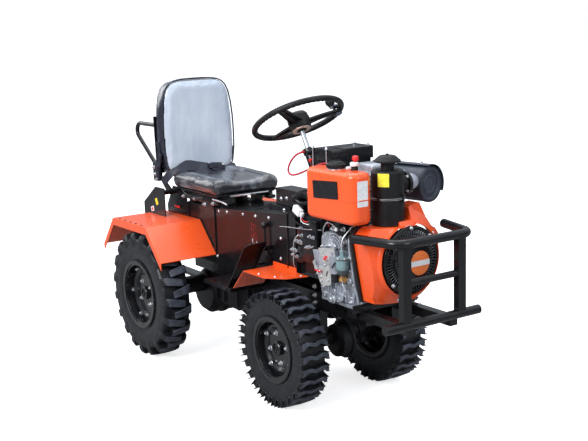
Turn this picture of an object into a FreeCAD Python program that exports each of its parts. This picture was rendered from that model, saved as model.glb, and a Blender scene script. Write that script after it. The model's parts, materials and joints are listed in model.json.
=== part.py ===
"""Compact four-wheel tractor with an open air-cooled diesel engine.

Millimetres, +Z up, the tractor faces -Y and its right-hand side is -X.
The origin lies on the ground under the centre of the whole tractor.
Each function below makes one sub-part, and the loop at the end writes each to a STEP file.
"""
import FreeCAD, Part
import math
import os

V = FreeCAD.Vector
X_AXIS = V(1, 0, 0)
Y_AXIS = V(0, 1, 0)
Z_AXIS = V(0, 0, 1)
ORIGIN = V(0, 0, 0)
RIGHT = -1
LEFT = 1
SIDES = (("right", RIGHT), ("left", LEFT))

# Fits
RUNNING_FIT = 0.05
SEAT_GAP = 0.3

# Wheels and axles
WHEELBASE = 1031
FRONT_AXLE_Y = -401
REAR_AXLE_Y = FRONT_AXLE_Y + WHEELBASE
FRONT_TRACK = 536
REAR_TRACK = 782
FRONT_TYRE_R = 258
FRONT_TYRE_W = 129
FRONT_BEAD_R = 127
FRONT_LUGS = 32
FRONT_LUG_H = 32
FRONT_LUG_WAVE = 0.24
REAR_TYRE_R = 321
REAR_TYRE_W = 148
REAR_BEAD_R = 152
REAR_LUGS = 22
REAR_LUG_H = 40
REAR_LUG_GAP = 12
REAR_LUG_SLANT = 0.6
CASING_WALL = 14
BEAD_W = 16
BEAD_INSET = 6
SHOULDER_DROP = 8
RIM_INSET = 10
RIM_FLANGE = 14
RIM_SHEET = 4
DISC_SHEET = 6
FRONT_DISC_X = 18
REAR_DISC_X = 20
FRONT_HUB_HOLE = 31
REAR_HUB_HOLE = 35
FRONT_AXLE_R = 38
REAR_AXLE_R = 45
HALF_SHAFT_R = 20
REAR_AXLE_END = 318

# Steering
KINGPIN_X = 170
KINGPIN_R = 12
KINGPIN_BOSS_R = 26
KINGPIN_BOSS_H = 80
KNUCKLE_LUG = 20
KNUCKLE_WEB = 44
SPINDLE_R = 15
STEER_ARM = 100
ROD_R = 6.5
ROD_PIN_R = 6
ROD_EYE_R = 14
ROD_EYE_H = 14
PITMAN_GAP = 10
PITMAN_H = 12
PITMAN_SHAFT_R = 12
COLUMN_TILT = 29.2
STEERING_WHEEL_R = 219
STEERING_RIM_R = 14
STEERING_WHEEL_Y = -175
STEERING_WHEEL_Z = 1225
COLUMN_TUBE_R = 22
COLUMN_TOP = 150
COLUMN_FOOT = 400
COLUMN_SHAFT_R = 11
CABLE_R = 3

# Frame
RAIL_X = 50
RAIL_W = 40
RAIL_Z = 400
RAIL_H = 80
RAIL_TOP = RAIL_Z + RAIL_H
FRAME_FRONT_Y = -765
FRAME_REAR_Y = 700
SHEET = 3
PLATE = 8

# Body
BODY_W = 300
BODY_FRONT_Y = -350
BODY_STEP_Y = 355
BODY_REAR_Y = 640
BODY_BOTTOM_Z = 450
BODY_FRONT_TOP_Z = 824
NOSE_Y = -512
NOSE_W = 250
CONSOLE_W = 90
CONSOLE_FRONT_Y = -262
CONSOLE_REAR_Y = -40
CONSOLE_TOP_Z = 900
TYRE_ROOM = 40
FRONT_FENDER_GAP = 47
FRONT_FENDER_REACH = 47
FRONT_FLAP = 93
FENDER_INSET = 21
REAR_FENDER_GAP = 43
REAR_FENDER_TOP_Z = 2 * REAR_TYRE_R + REAR_FENDER_GAP
BODY_REAR_TOP_Z = REAR_FENDER_TOP_Z + 77
REAR_FENDER_X = 465
BOARD_X = 300
FOOTWELL = 123
BOARD_FRONT_Y = FRONT_AXLE_Y + FRONT_TYRE_R + FOOTWELL
BOARD_REAR_Y = 235
GUSSET_X = 250
CROSS_TUBE_Y = 760
CROSS_TUBE_Z = REAR_FENDER_TOP_Z + 115
CROSS_TUBE_R = 12
LUG_X = 180
HOOP_X = 200
HOOP_R = 11
DRAWBAR_END_Y = 1110
DRAWBAR_Z = REAR_TYRE_R - 21
DRAWBAR_T = 16
DRAWBAR_HOLE_R = 10.5
DRAWBAR_HOLE_INSET = 32

# Engine
FAN_Z = 704
FAN_RING_R = 152
SHROUD_R = 203
SHROUD_LEFT = -192
FAN_COVER_R = 139
COVER_DEPTH = 16
SHROUD_FRONT_Y = -948
SHROUD_STEP_Y = -888
SHROUD_REAR_Y = -820
CASE_REAR_Y = -545
CASE_RIGHT_X = -170
CASE_LEFT_X = 140
CASE_TOP_Z = 800
CASE_COVER = 20
CYLINDER_X = 35
CYLINDER_Y = -690
CYLINDER_R = 56
CYLINDER_TOP_Z = 925
HEAD_TOP_Z = 1040
ROCKER_TOP_Z = 1072
FIN_REACH = 76
FIN_COUNT = 8
HEAD_FINS = 6
TANK_OUTER_X = -250
TANK_INNER_X = -142
TANK_FRONT_Y = -897
TANK_REAR_Y = -566
TANK_Z = 864
TANK_TOP_Z = 1072
CAP_X = -196
CAP_Y = -722
CLEANER_X = -35
CLEANER_Y = -850
CLEANER_Z = 843
CLEANER_R = 68
CLEANER_H = 225
SILENCER_X = 240
SILENCER_Y = -800
SILENCER_Z = 968
SILENCER_R = 75
SILENCER_L = 235
SILENCER_TURN = 12
GUARD_GAP = 9
GUARD_START = 15
GUARD_SPAN = 130
INTAKE_X = 152
INTAKE_PORT_X = 92
INTAKE_Y = -842
INTAKE_Z = 1000
INTAKE_R = 31
BATTERY_X = -58
BATTERY_W = 198
BATTERY_REAR_Y = -386
BATTERY_L = 130
BATTERY_Z = 908
BATTERY_H = 182

# Bumper
BUMPER_Y = -1080
BUMPER_LOW_Z = 485
BUMPER_TOP_Z = 815
BUMPER_MID_Z = 655
BUMPER_LOW_HALF = 246
BUMPER_POST_X = 143
BUMPER_TUBE_R = 19
BUMPER_MID_R = 14
BUMPER_BOX = 40
POST_W = 40

# Seat
SEAT_W = 380
CUSHION_FRONT_Y = 270
CUSHION_REAR_Y = 728
CUSHION_Z = BODY_REAR_TOP_Z + 70
CUSHION_H = 76
BACK_W = 430
BACK_H = 500
BACK_THICK = 110
BACK_LEAN = 2
BACK_GAP = 8
BACK_Z = CUSHION_Z + 52
RUNNER_X = 110


def box(x0, x1, y0, y1, z0, z1):
    """Block between two corners."""
    return Part.makeBox(x1 - x0, y1 - y0, z1 - z0, V(x0, y0, z0))


def sided_box(side, x0, x1, y0, y1, z0, z1):
    """Block drawn for +X, on either side of the tractor."""
    low, high = sorted((side * x0, side * x1))
    return box(low, high, y0, y1, z0, z1)


def rod(start, end, radius):
    """Straight round bar between two points."""
    run = end - start
    return Part.makeCylinder(radius, run.Length, start, run)


def fused(shapes):
    """One solid from touching shapes, with merged faces."""
    first = shapes[0]
    if len(shapes) == 1:
        return first
    return first.fuse(shapes[1:]).removeSplitter()


def mirrored(shape):
    """The same shape on the other side of the tractor."""
    return shape.mirror(ORIGIN, X_AXIS)


def on_side(shape, side):
    """A shape drawn for +X, kept there or mirrored to -X."""
    return shape if side == LEFT else mirrored(shape)


def both(shape):
    """Two like solids, one on each side."""
    return Part.makeCompound([shape, mirrored(shape)])


def polygon(points):
    """Flat face inside a ring of points."""
    return Part.Face(Part.makePolygon(points + points[:1]))


def upright_edges(shape):
    """Edges that run along Z."""
    return [edge for edge in shape.Edges if abs(edge.tangentAt(0).z) > 0.9]


def prism_x(points, x0, x1):
    """A (y, z) outline pulled out along X."""
    return polygon([V(x0, y, z) for y, z in points]).extrude(V(x1 - x0, 0, 0))


def prism_y(points, y0, y1):
    """An (x, z) outline pulled out along Y."""
    return polygon([V(x, y0, z) for x, z in points]).extrude(V(0, y1 - y0, 0))


def prism_z(points, z0, z1):
    """An (x, y) outline pulled out along Z."""
    return polygon([V(x, y, z0) for x, y in points]).extrude(V(0, 0, z1 - z0))


def curved_outline(start, steps):
    """Flat face in the XZ plane: a step of one point is a line, of two points an arc through the first."""
    edges = []
    here = V(start[0], 0, start[1])
    first = here
    for step in steps:
        points = [V(x, 0, z) for x, z in step]
        if len(points) == 1:
            edges.append(Part.LineSegment(here, points[0]).toShape())
        else:
            edges.append(Part.Arc(here, points[0], points[1]).toShape())
        here = points[-1]
    if here.distanceToPoint(first) > SEAT_GAP:
        edges.append(Part.LineSegment(here, first).toShape())
    return Part.Face(Part.Wire(edges))


def spun(face, centre, axis_dir=X_AXIS):
    """A face of (along, radius) points turned about an axis through the centre."""
    solid = face.revolve(ORIGIN, X_AXIS, 360)
    solid.Placement = FreeCAD.Placement(centre, FreeCAD.Rotation(X_AXIS, axis_dir))
    return solid


def turned(profile, centre, axis_dir=X_AXIS):
    """An (along, radius) outline of straight runs turned about an axis through the centre."""
    return spun(polygon([V(along, 0, radius) for along, radius in profile]), centre, axis_dir)


def bent_tube(points, radius, bend=None):
    """Round tube along straight runs joined by arcs of one bend radius, or as large as the runs allow."""
    edges = []
    start = points[0]
    for before, corner, after in zip(points, points[1:], points[2:]):
        shorter = min((before - corner).Length, (after - corner).Length)
        back = (before - corner).normalize()
        ahead = (after - corner).normalize()
        half = back.getAngle(ahead) / 2
        cut = bend / math.tan(half) if bend else 0.45 * shorter
        first = corner + back * cut
        last = corner + ahead * cut
        inward = (back + ahead).normalize()
        arc = cut * math.tan(half)
        middle = corner + inward * (arc / math.sin(half) - arc)
        edges.append(Part.LineSegment(start, first).toShape())
        edges.append(Part.Arc(first, middle, last).toShape())
        start = last
    edges.append(Part.LineSegment(start, points[-1]).toShape())
    path = Part.Wire(edges)
    ring = Part.Wire(Part.makeCircle(radius, points[0], points[1] - points[0]))
    return path.makePipeShell([ring], True, False)


def loop(count, stations, turn=0.0):
    """Points round the X axis: stations of (share of a pitch, x, radius), repeated; turn is in pitches."""
    points = []
    for i in range(count):
        for share, x, radius in stations:
            angle = 2 * math.pi * (i + share + turn) / count
            points.append((i + share, V(x, radius * math.sin(angle), radius * math.cos(angle))))
    return points


def band(near, far, count):
    """Triangles between two loops, which may differ in number of points."""
    faces = []
    i = 0
    j = 0
    while i < len(near) or j < len(far):
        here = near[i % len(near)][1]
        there = far[j % len(far)][1]
        next_near = near[(i + 1) % len(near)][0] + count * ((i + 1) // len(near))
        next_far = far[(j + 1) % len(far)][0] + count * ((j + 1) // len(far))
        if j == len(far) or (i < len(near) and next_near <= next_far):
            i += 1
            faces.append(polygon([here, near[i % len(near)][1], there]))
        else:
            j += 1
            faces.append(polygon([here, far[j % len(far)][1], there]))
    return faces


def faceted_ring(loops, count):
    """Solid ring with flat facets through a row of loops, the last joined to the first."""
    faces = []
    for near, far in zip(loops, loops[1:] + loops[:1]):
        faces += band(near, far, count)
    shell = Part.makeShell(faces)
    shell.sewShape()
    solid = Part.makeSolid(shell)
    if solid.Volume < 0:
        solid.reverse()
    return solid


# Wheels

def lug_stations(x, top, foot, half_top, half_foot, shift=0.0):
    """Section of a lug at one x: up its front wall, over its top and down its rear wall."""
    return [(shift - half_foot, x, foot), (shift - half_top, x, top), (shift + half_top, x, top),
            (shift + half_foot, x, foot)]


def carcass(width, bead_r, foot, count):
    """Loops of a tyre's beads and hollow inside, from its right bead seat to its left one."""
    half = width / 2
    bead = half - RIM_INSET
    seat = (bead_r + SEAT_GAP) / math.cos(math.pi / count)
    crown = foot - CASING_WALL
    outer = bead - BEAD_INSET
    hollow = half - RIM_INSET - CASING_WALL
    profile = [(outer, seat), (outer - BEAD_W, seat), (hollow, crown), (-hollow, crown), (BEAD_W - outer, seat),
               (-outer, seat)]
    return [loop(count, [(0, x, radius)]) for x, radius in profile]


def front_tyre():
    """Front tyre with zigzag lugs across its whole width."""
    count = FRONT_LUGS
    half = FRONT_TYRE_W / 2
    foot = FRONT_TYRE_R - FRONT_LUG_H
    bulge = [(0, half, (FRONT_BEAD_R + RIM_FLANGE + foot) / 2)]
    wave = FRONT_LUG_WAVE / 2
    shoulder = lug_stations(half - 2, FRONT_TYRE_R - 6, foot - SHOULDER_DROP, 0.1, 0.3, wave)
    quarter = lug_stations(half / 2, FRONT_TYRE_R, foot, 0.15, 0.31, -wave)
    centre = lug_stations(0, FRONT_TYRE_R, foot, 0.15, 0.31, wave)
    outer = [bulge, shoulder, quarter]
    other = [[(share, -x, radius) for share, x, radius in stations] for stations in outer]
    tread = [loop(count, stations) for stations in other + [centre] + outer[::-1]]
    return faceted_ring(tread + carcass(FRONT_TYRE_W, FRONT_BEAD_R, foot, count), count)


def rear_tyre():
    """Rear tyre with chunky chevron lugs, half a pitch apart from side to side, their inner ends leading."""
    count = REAR_LUGS
    half = REAR_TYRE_W / 2
    foot = REAR_TYRE_R - REAR_LUG_H
    wall = (REAR_BEAD_R + RIM_FLANGE + foot) / 2
    bulge = [(0, half, wall), (0.5, half, wall)]
    shoulder = lug_stations(half - 4, REAR_TYRE_R - 9, foot - SHOULDER_DROP, 0.16, 0.29)
    inner = lug_stations(REAR_LUG_GAP / 2, REAR_TYRE_R, foot, 0.17, 0.3)
    slant = -REAR_LUG_SLANT
    near = [loop(count, inner, slant), loop(count, shoulder), loop(count, bulge)]
    far = []
    for stations, turn in ((bulge, 0), (shoulder, 0), (inner, slant)):
        staggered = [(share + 0.5, -x, radius) for share, x, radius in stations]
        far.append(loop(count, staggered, turn))
    return faceted_ring(far + near + carcass(REAR_TYRE_W, REAR_BEAD_R, foot, count), count)


def rim(width, bead_r, disc_x, hub_hole):
    """Pressed steel wheel about X at the origin: rolled flanges, a well, and a dished disc towards +X."""
    half = width / 2 - RIM_INSET
    flange = bead_r + RIM_FLANGE
    well = bead_r - 16
    edge = RIM_SHEET
    outer = [
        (-half - edge, bead_r - edge), (-half - edge, flange - 3), (-half - edge - 3, flange),
        (-half - 1, flange), (-half - 1, bead_r), (-half + 22, bead_r - 2), (-half + 32, well), (-half + 58, well),
        (-half + 68, bead_r - 2), (half + 1, bead_r), (half + 1, flange), (half + edge + 3, flange),
        (half + edge, flange - 3), (half + edge, bead_r - edge),
    ]
    inner = [
        (-half + 68, bead_r - 2 - edge), (-half + 58, well - edge), (-half + 32, well - edge),
        (-half + 22, bead_r - 2 - edge),
    ]
    barrel = turned(outer + inner, ORIGIN)
    front = disc_x + DISC_SHEET
    dish = bead_r - 34
    lip = bead_r - edge - 1
    disc = turned([
        (disc_x, hub_hole), (front, hub_hole), (front, dish - 8), (front + 9, dish + 4), (front + 9, dish + 12),
        (front - 4, lip), (front - 4 - DISC_SHEET, lip), (disc_x + 9, dish + 10),
        (disc_x + 9, dish + 6), (disc_x, dish - 6),
    ], ORIGIN)
    return fused([barrel, disc])


def wheel_hub(disc_x, start_x, flange_r, barrel_r):
    """Hub about X at the origin: a flange behind the disc and a stepped barrel inboard."""
    return turned([
        (start_x, 0), (start_x, barrel_r), (disc_x - 30, barrel_r), (disc_x - 12, barrel_r + 10),
        (disc_x - 12, flange_r), (disc_x, flange_r), (disc_x, barrel_r - 2), (disc_x + 12, barrel_r - 2),
        (disc_x + 16, barrel_r - 6), (disc_x + 16, 0),
    ], ORIGIN)


def front_hub():
    """Front hub, bored for the knuckle's spindle."""
    start = KINGPIN_X + KNUCKLE_WEB + 0.5 - FRONT_TRACK / 2
    hub = wheel_hub(FRONT_DISC_X, start, 55, FRONT_HUB_HOLE - 1)
    return hub.cut(rod(V(start, 0, 0), V(FRONT_DISC_X, 0, 0), SPINDLE_R + RUNNING_FIT))


def rear_hub():
    """Rear hub with the end of its half shaft."""
    start = REAR_AXLE_END + 0.5 - REAR_TRACK / 2
    hub = wheel_hub(REAR_DISC_X, start, 65, REAR_HUB_HOLE - 1)
    return fused([hub, rod(V(start - 60, 0, 0), V(start, 0, 0), HALF_SHAFT_R)])


def placed_wheel(shape, track, axle_y, axle_z, side):
    """Move a wheel piece from the origin to its axle."""
    piece = shape.copy()
    piece.translate(V(track / 2, axle_y, axle_z))
    return on_side(piece, side)


# Axles and steering

def front_axle():
    """Tube axle with a king pin boss at each end and the flanged differential case on it."""
    centre = V(0, FRONT_AXLE_Y, FRONT_TYRE_R)
    tube = rod(centre - X_AXIS * (KINGPIN_X - 10), centre + X_AXIS * (KINGPIN_X - 10), FRONT_AXLE_R)
    pieces = [tube]
    for _, side in SIDES:
        low = V(side * KINGPIN_X, FRONT_AXLE_Y, FRONT_TYRE_R - KINGPIN_BOSS_H / 2)
        pieces.append(rod(low, low + Z_AXIS * KINGPIN_BOSS_H, KINGPIN_BOSS_R))
        outer = centre + X_AXIS * side * (KINGPIN_X - KINGPIN_BOSS_R - 12)
        pieces.append(rod(outer, outer - X_AXIS * side * 10, FRONT_AXLE_R + 8))
    case = turned([(-25, 0), (-25, 50), (-12, 74), (30, 78), (30, 88), (42, 88), (42, 70), (48, 60), (48, 0)],
                  centre + V(0, -35, -13))
    pieces.append(case)
    pinion = centre + V(12, 40, -8)
    pieces.append(rod(centre + V(12, 0, -8), pinion, 34))
    axle = fused(pieces)
    for _, side in SIDES:
        foot = V(side * KINGPIN_X, FRONT_AXLE_Y, 0)
        axle = axle.cut(rod(foot, foot + Z_AXIS * 2 * FRONT_TYRE_R, KINGPIN_R + RUNNING_FIT))
        reach = KINGPIN_X + KINGPIN_BOSS_R
        axle = axle.cut(sided_box(side, reach, reach + 40, FRONT_AXLE_Y - 60, FRONT_AXLE_Y + 60, 0,
                                  2 * FRONT_TYRE_R))
    return axle


def knuckle(side):
    """Forked steering knuckle with its king pin, wheel spindle and steering arm."""
    low = FRONT_TYRE_R - KINGPIN_BOSS_H / 2 - SEAT_GAP - KNUCKLE_LUG
    high = knuckle_top()
    web_in = KINGPIN_X + KINGPIN_BOSS_R + 6
    web_out = KINGPIN_X + KNUCKLE_WEB
    pieces = [rod(V(KINGPIN_X, FRONT_AXLE_Y, low), V(KINGPIN_X, FRONT_AXLE_Y, high), KINGPIN_R)]
    for z0, z1 in ((low, low + KNUCKLE_LUG), (high - KNUCKLE_LUG, high)):
        pieces.append(rod(V(KINGPIN_X, FRONT_AXLE_Y, z0), V(KINGPIN_X, FRONT_AXLE_Y, z1), KINGPIN_BOSS_R))
        pieces.append(box(KINGPIN_X, web_out, FRONT_AXLE_Y - 26, FRONT_AXLE_Y + 26, z0, z1))
    pieces.append(box(web_in, web_out, FRONT_AXLE_Y - 26, FRONT_AXLE_Y + 26, low, high))
    pieces.append(rod(V(web_out, FRONT_AXLE_Y, FRONT_TYRE_R),
                      V(FRONT_TRACK / 2 + FRONT_DISC_X - 4, FRONT_AXLE_Y, FRONT_TYRE_R), SPINDLE_R))
    arm_y = FRONT_AXLE_Y + STEER_ARM
    pieces.append(box(KINGPIN_X - 14, KINGPIN_X + 14, FRONT_AXLE_Y, arm_y, high - 12, high))
    pieces.append(rod(V(KINGPIN_X, arm_y, high - 12), V(KINGPIN_X, arm_y, high), ROD_EYE_R))
    pieces.append(rod(V(KINGPIN_X, arm_y, high), V(KINGPIN_X, arm_y, high + ROD_EYE_H + SEAT_GAP), ROD_PIN_R))
    return on_side(fused(pieces), side)


def knuckle_top():
    """Top of the knuckle's upper lug and of its steering arm."""
    return FRONT_TYRE_R + KINGPIN_BOSS_H / 2 + SEAT_GAP + KNUCKLE_LUG


def rod_level():
    """Underside of the tie rod's eyes, on top of the steering arms."""
    return knuckle_top() + SEAT_GAP


def pitman_level():
    """Underside of the pitman arm, over the tie rod."""
    return rod_level() + ROD_EYE_H + PITMAN_GAP


def tie_rod():
    """Rod across both steering arms, with a third eye for the pitman arm."""
    y = FRONT_AXLE_Y + STEER_ARM
    z = rod_level()
    mid = z + ROD_EYE_H / 2
    pieces = [rod(V(-KINGPIN_X, y, mid), V(KINGPIN_X, y, mid), ROD_R)]
    for x in (-KINGPIN_X, 0, KINGPIN_X):
        pieces.append(rod(V(x, y, z), V(x, y, z + ROD_EYE_H), ROD_EYE_R))
    bar = fused(pieces)
    for x in (-KINGPIN_X, 0, KINGPIN_X):
        bar = bar.cut(rod(V(x, y, z - 1), V(x, y, z + ROD_EYE_H + 1), ROD_PIN_R + RUNNING_FIT))
    return bar


def pitman_arm():
    """Arm under the upright steering shaft, its pin in the middle eye of the tie rod."""
    y = FRONT_AXLE_Y + STEER_ARM
    z = pitman_level()
    top = z + PITMAN_H
    pieces = [
        rod(V(0, FRONT_AXLE_Y, z), V(0, FRONT_AXLE_Y, top + 8), PITMAN_SHAFT_R + 10),
        rod(V(0, FRONT_AXLE_Y, z), V(0, FRONT_AXLE_Y, gearbox_bottom() + 20), PITMAN_SHAFT_R),
        box(-14, 14, FRONT_AXLE_Y, y, z, top),
        rod(V(0, y, z), V(0, y, top), ROD_EYE_R),
        rod(V(0, y, rod_level()), V(0, y, z), ROD_PIN_R),
    ]
    return fused(pieces)


def gearbox_bottom():
    """Underside of the steering gearbox, inside the nose."""
    return BODY_FRONT_TOP_Z - 114


def column_point(distance):
    """Point on the steering axis, that far below the steering wheel's centre."""
    tilt = math.radians(COLUMN_TILT)
    return V(0, STEERING_WHEEL_Y - distance * math.sin(tilt), STEERING_WHEEL_Z - distance * math.cos(tilt))


def steering_gearbox():
    """Reduction box on the front of the body, between column and upright shaft."""
    base = gearbox_bottom()
    case = box(-40, 40, FRONT_AXLE_Y - 45, BODY_FRONT_Y - SEAT_GAP, base, base + 76)
    neck = rod(column_point(COLUMN_FOOT + 115), column_point(COLUMN_FOOT), COLUMN_TUBE_R + 8)
    case = fused([case.makeFillet(12, upright_edges(case)), neck])
    case = case.cut(rod(V(0, FRONT_AXLE_Y, base - 1), V(0, FRONT_AXLE_Y, base + 21),
                        PITMAN_SHAFT_R + RUNNING_FIT))
    return case.cut(rod(column_point(COLUMN_FOOT + 40), column_point(COLUMN_FOOT - 10),
                        COLUMN_SHAFT_R + RUNNING_FIT))


def cable_clip():
    """Middle of the throttle cable's upper end, in its clip beside the column."""
    return column_point(COLUMN_TOP + 12) - X_AXIS * (COLUMN_TUBE_R + 14)


def steering_column():
    """Column tube with a collar at its top and the throttle cable's clip on its right side."""
    tube = rod(column_point(COLUMN_TOP), column_point(COLUMN_FOOT - SEAT_GAP), COLUMN_TUBE_R)
    collar = rod(column_point(COLUMN_TOP), column_point(COLUMN_TOP + 24), COLUMN_TUBE_R + 5)
    clip = cable_clip()
    arm = box(clip.x, 0, clip.y - 8, clip.y + 8, clip.z - 5, clip.z + 5)
    return fused([tube, collar, arm]).cut(rod(column_point(COLUMN_TOP - 10), column_point(COLUMN_FOOT + 10),
                                         COLUMN_SHAFT_R + RUNNING_FIT))


def spoke():
    """Tapered spoke with a raised rib, drawn along +X of the wheel's own plane."""
    reach = STEERING_WHEEL_R - STEERING_RIM_R
    plate = prism_z([(20, -19), (reach, -13), (reach, 13), (20, 19)], -14, -8)
    rib = prism_z([(20, -5), (reach, -4), (reach, 4), (20, 5)], -8, 2)
    return fused([plate, rib])


def steering_wheel():
    """Rim, three ribbed spokes, a domed hub and the shaft, tilted to the column."""
    pieces = [Part.makeTorus(STEERING_WHEEL_R - STEERING_RIM_R, STEERING_RIM_R)]
    hub = [(-62, 0), (-62, 26), (-56, 36), (-20, 40), (14, 40), (26, 30), (26, 0)]
    pieces.append(turned(hub, ORIGIN, Z_AXIS))
    for angle in (90, 210, 330):
        arm = spoke()
        arm.rotate(ORIGIN, Z_AXIS, angle)
        pieces.append(arm)
    pieces.append(Part.makeCylinder(COLUMN_SHAFT_R, COLUMN_FOOT, V(0, 0, -COLUMN_FOOT - 38)))
    wheel = fused(pieces)
    wheel.rotate(ORIGIN, X_AXIS, -COLUMN_TILT)
    wheel.translate(V(0, STEERING_WHEEL_Y, STEERING_WHEEL_Z))
    return wheel


def rear_axle():
    """Rear transaxle case with an axle tube to each side."""
    centre_z = REAR_TYRE_R - 46
    radius = RAIL_Z - centre_z - SEAT_GAP
    case = [(-90, 0), (-90, radius - 29), (-60, radius - 6), (-8, radius - 6), (-8, radius), (8, radius),
            (8, radius - 6), (60, radius - 6), (90, radius - 29), (90, 0)]
    pieces = [turned(case, V(0, REAR_AXLE_Y - 10, centre_z))]
    for _, side in SIDES:
        near = V(side * 60, REAR_AXLE_Y, REAR_TYRE_R)
        end = V(side * REAR_AXLE_END, REAR_AXLE_Y, REAR_TYRE_R)
        pieces.append(rod(near, end, REAR_AXLE_R))
        pieces.append(rod(end - X_AXIS * side * 22, end, REAR_AXLE_R + 18))
    case = fused(pieces)
    for _, side in SIDES:
        end = V(side * (REAR_AXLE_END + 12), REAR_AXLE_Y, REAR_TYRE_R)
        case = case.cut(rod(end - X_AXIS * side * 90, end, HALF_SHAFT_R + RUNNING_FIT))
    return case


def gearbox():
    """Ribbed gear case in front of the rear axle, under the frame rails."""
    rear = REAR_AXLE_Y - 60
    outline = [(rear, RAIL_Z), (150, RAIL_Z), (150, 345), (205, 262), (300, 232), (430, 240), (rear, 270)]
    pieces = [prism_x(outline, -70, 70)]
    for y in (190, 300, 430):
        pieces.append(prism_x([(y, RAIL_Z), (y, 250), (y + 12, 250), (y + 12, RAIL_Z)], -78, 78))
    return fused(pieces).cut(rear_axle())


def prop_shaft():
    """Shaft from the gear case to the front differential, with a joint at each end."""
    z = FRONT_TYRE_R - 8
    front = FRONT_AXLE_Y + 40
    pieces = [rod(V(12, front, z), V(12, 300, z), 14)]
    for y in (front + 4, 60):
        pieces.append(rod(V(12, y, z), V(12, y + 46, z), 24))
    return fused(pieces).cut(front_axle()).cut(gearbox())


# Frame and body

def chassis_frame():
    """Two box rails, their cross members and the saddles on the front axle."""
    pieces = []
    for _, side in SIDES:
        pieces.append(sided_box(side, RAIL_X, RAIL_X + RAIL_W, FRAME_FRONT_Y, FRAME_REAR_Y, RAIL_Z, RAIL_TOP))
        pieces.append(sided_box(side, RAIL_X, RAIL_X + RAIL_W, FRONT_AXLE_Y - 34, FRONT_AXLE_Y + 34,
                                FRONT_TYRE_R, RAIL_Z))
    for y0 in (FRAME_FRONT_Y, FRONT_AXLE_Y - 30, FRAME_REAR_Y - 60):
        pieces.append(box(-RAIL_X, RAIL_X, y0, y0 + 60, RAIL_TOP - 12, RAIL_TOP))
    frame = fused(pieces)
    frame = frame.cut(rod(V(0, FRONT_AXLE_Y, RAIL_Z), V(0, FRONT_AXLE_Y, RAIL_Z + 2 * RAIL_H),
                          PITMAN_SHAFT_R + RUNNING_FIT))
    return frame.cut(front_axle())


def engine_platform():
    """Plate on the rails that carries the engine, with a turned-down edge on each side."""
    half = CASE_LEFT_X + 10
    front = FRAME_FRONT_Y - 10
    plate = box(-half, half, front, CASE_REAR_Y, RAIL_TOP, RAIL_TOP + PLATE)
    edges = [sided_box(side, half - SHEET, half, front, front + 60, RAIL_TOP - 34, RAIL_TOP + PLATE)
             for _, side in SIDES]
    return fused([plate] + edges)


def crease_y():
    """Fold between the front fenders' flat tops and their rear flaps."""
    return FRONT_AXLE_Y + FRONT_TYRE_R - FENDER_INSET


def front_fender_z():
    """Underside of the front fenders' flat tops."""
    return 2 * FRONT_TYRE_R + FRONT_FENDER_GAP


def wheel_cut():
    """Lower edge of the body over the front wheels."""
    return 2 * FRONT_TYRE_R + TYRE_ROOM


def body_top_line(y):
    """Height of the body's upper edge, which falls from the front to the step and then runs level."""
    share = min(1, (y - BODY_FRONT_Y) / (BODY_STEP_Y - BODY_FRONT_Y))
    return BODY_FRONT_TOP_Z + (BODY_REAR_TOP_Z - BODY_FRONT_TOP_Z) * share


def side_panels():
    """Flat steel panels along both sides of the body, each with a clipped top front corner."""
    rise = 0.6 * (wheel_cut() - BODY_BOTTOM_Z)
    heel = BOARD_FRONT_Y - 25
    outline = [
        (BODY_STEP_Y, BODY_BOTTOM_Z), (heel, BODY_BOTTOM_Z), (heel - rise, wheel_cut()),
        (BODY_FRONT_Y, wheel_cut()), (BODY_FRONT_Y, body_top_line(BODY_FRONT_Y) - 24),
        (BODY_FRONT_Y + 24, body_top_line(BODY_FRONT_Y + 24)), (BODY_STEP_Y, body_top_line(BODY_STEP_Y)),
    ]
    return both(prism_x(outline, BODY_W / 2 - SHEET, BODY_W / 2))


def body_top():
    """Falling top cover with its end plates, the narrower nose in front and the column's console on top."""
    half = BODY_W / 2 - SHEET
    front_z = body_top_line(BODY_FRONT_Y)
    rear_z = body_top_line(BODY_STEP_Y)
    line = [(BODY_FRONT_Y, front_z), (BODY_STEP_Y, rear_z), (BODY_REAR_Y, rear_z)]
    under = [(y, z - SHEET) for y, z in line]
    pieces = [
        prism_x(line + under[::-1], -half, half),
        box(-half, half, BODY_FRONT_Y, BODY_FRONT_Y + SHEET, wheel_cut(), front_z),
        box(-half, half, BODY_STEP_Y - SHEET, BODY_STEP_Y, RAIL_TOP, rear_z),
    ]
    nose = box(-NOSE_W / 2, NOSE_W / 2, NOSE_Y, BODY_FRONT_Y, wheel_cut(), front_z)
    hollow = box(-NOSE_W / 2 + SHEET, NOSE_W / 2 - SHEET, NOSE_Y + SHEET, BODY_FRONT_Y + 1, wheel_cut() - 1,
                 front_z - SHEET)
    passage = rod(column_point(COLUMN_FOOT + 115), column_point(COLUMN_FOOT - 40), COLUMN_TUBE_R + 14)
    pieces.append(nose.cut(hollow))
    foot = [(y, body_top_line(y) - SHEET) for y in (CONSOLE_REAR_Y, CONSOLE_FRONT_Y)]
    console = prism_x(foot + [(CONSOLE_FRONT_Y, CONSOLE_TOP_Z), (CONSOLE_REAR_Y, CONSOLE_TOP_Z)],
                      -CONSOLE_W / 2, CONSOLE_W / 2)
    room = box(-CONSOLE_W / 2 + SHEET, CONSOLE_W / 2 - SHEET, CONSOLE_FRONT_Y + SHEET, CONSOLE_REAR_Y - SHEET,
               BODY_REAR_TOP_Z, CONSOLE_TOP_Z - SHEET)
    pieces.append(console.cut(room))
    return fused(pieces).cut(passage)


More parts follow.
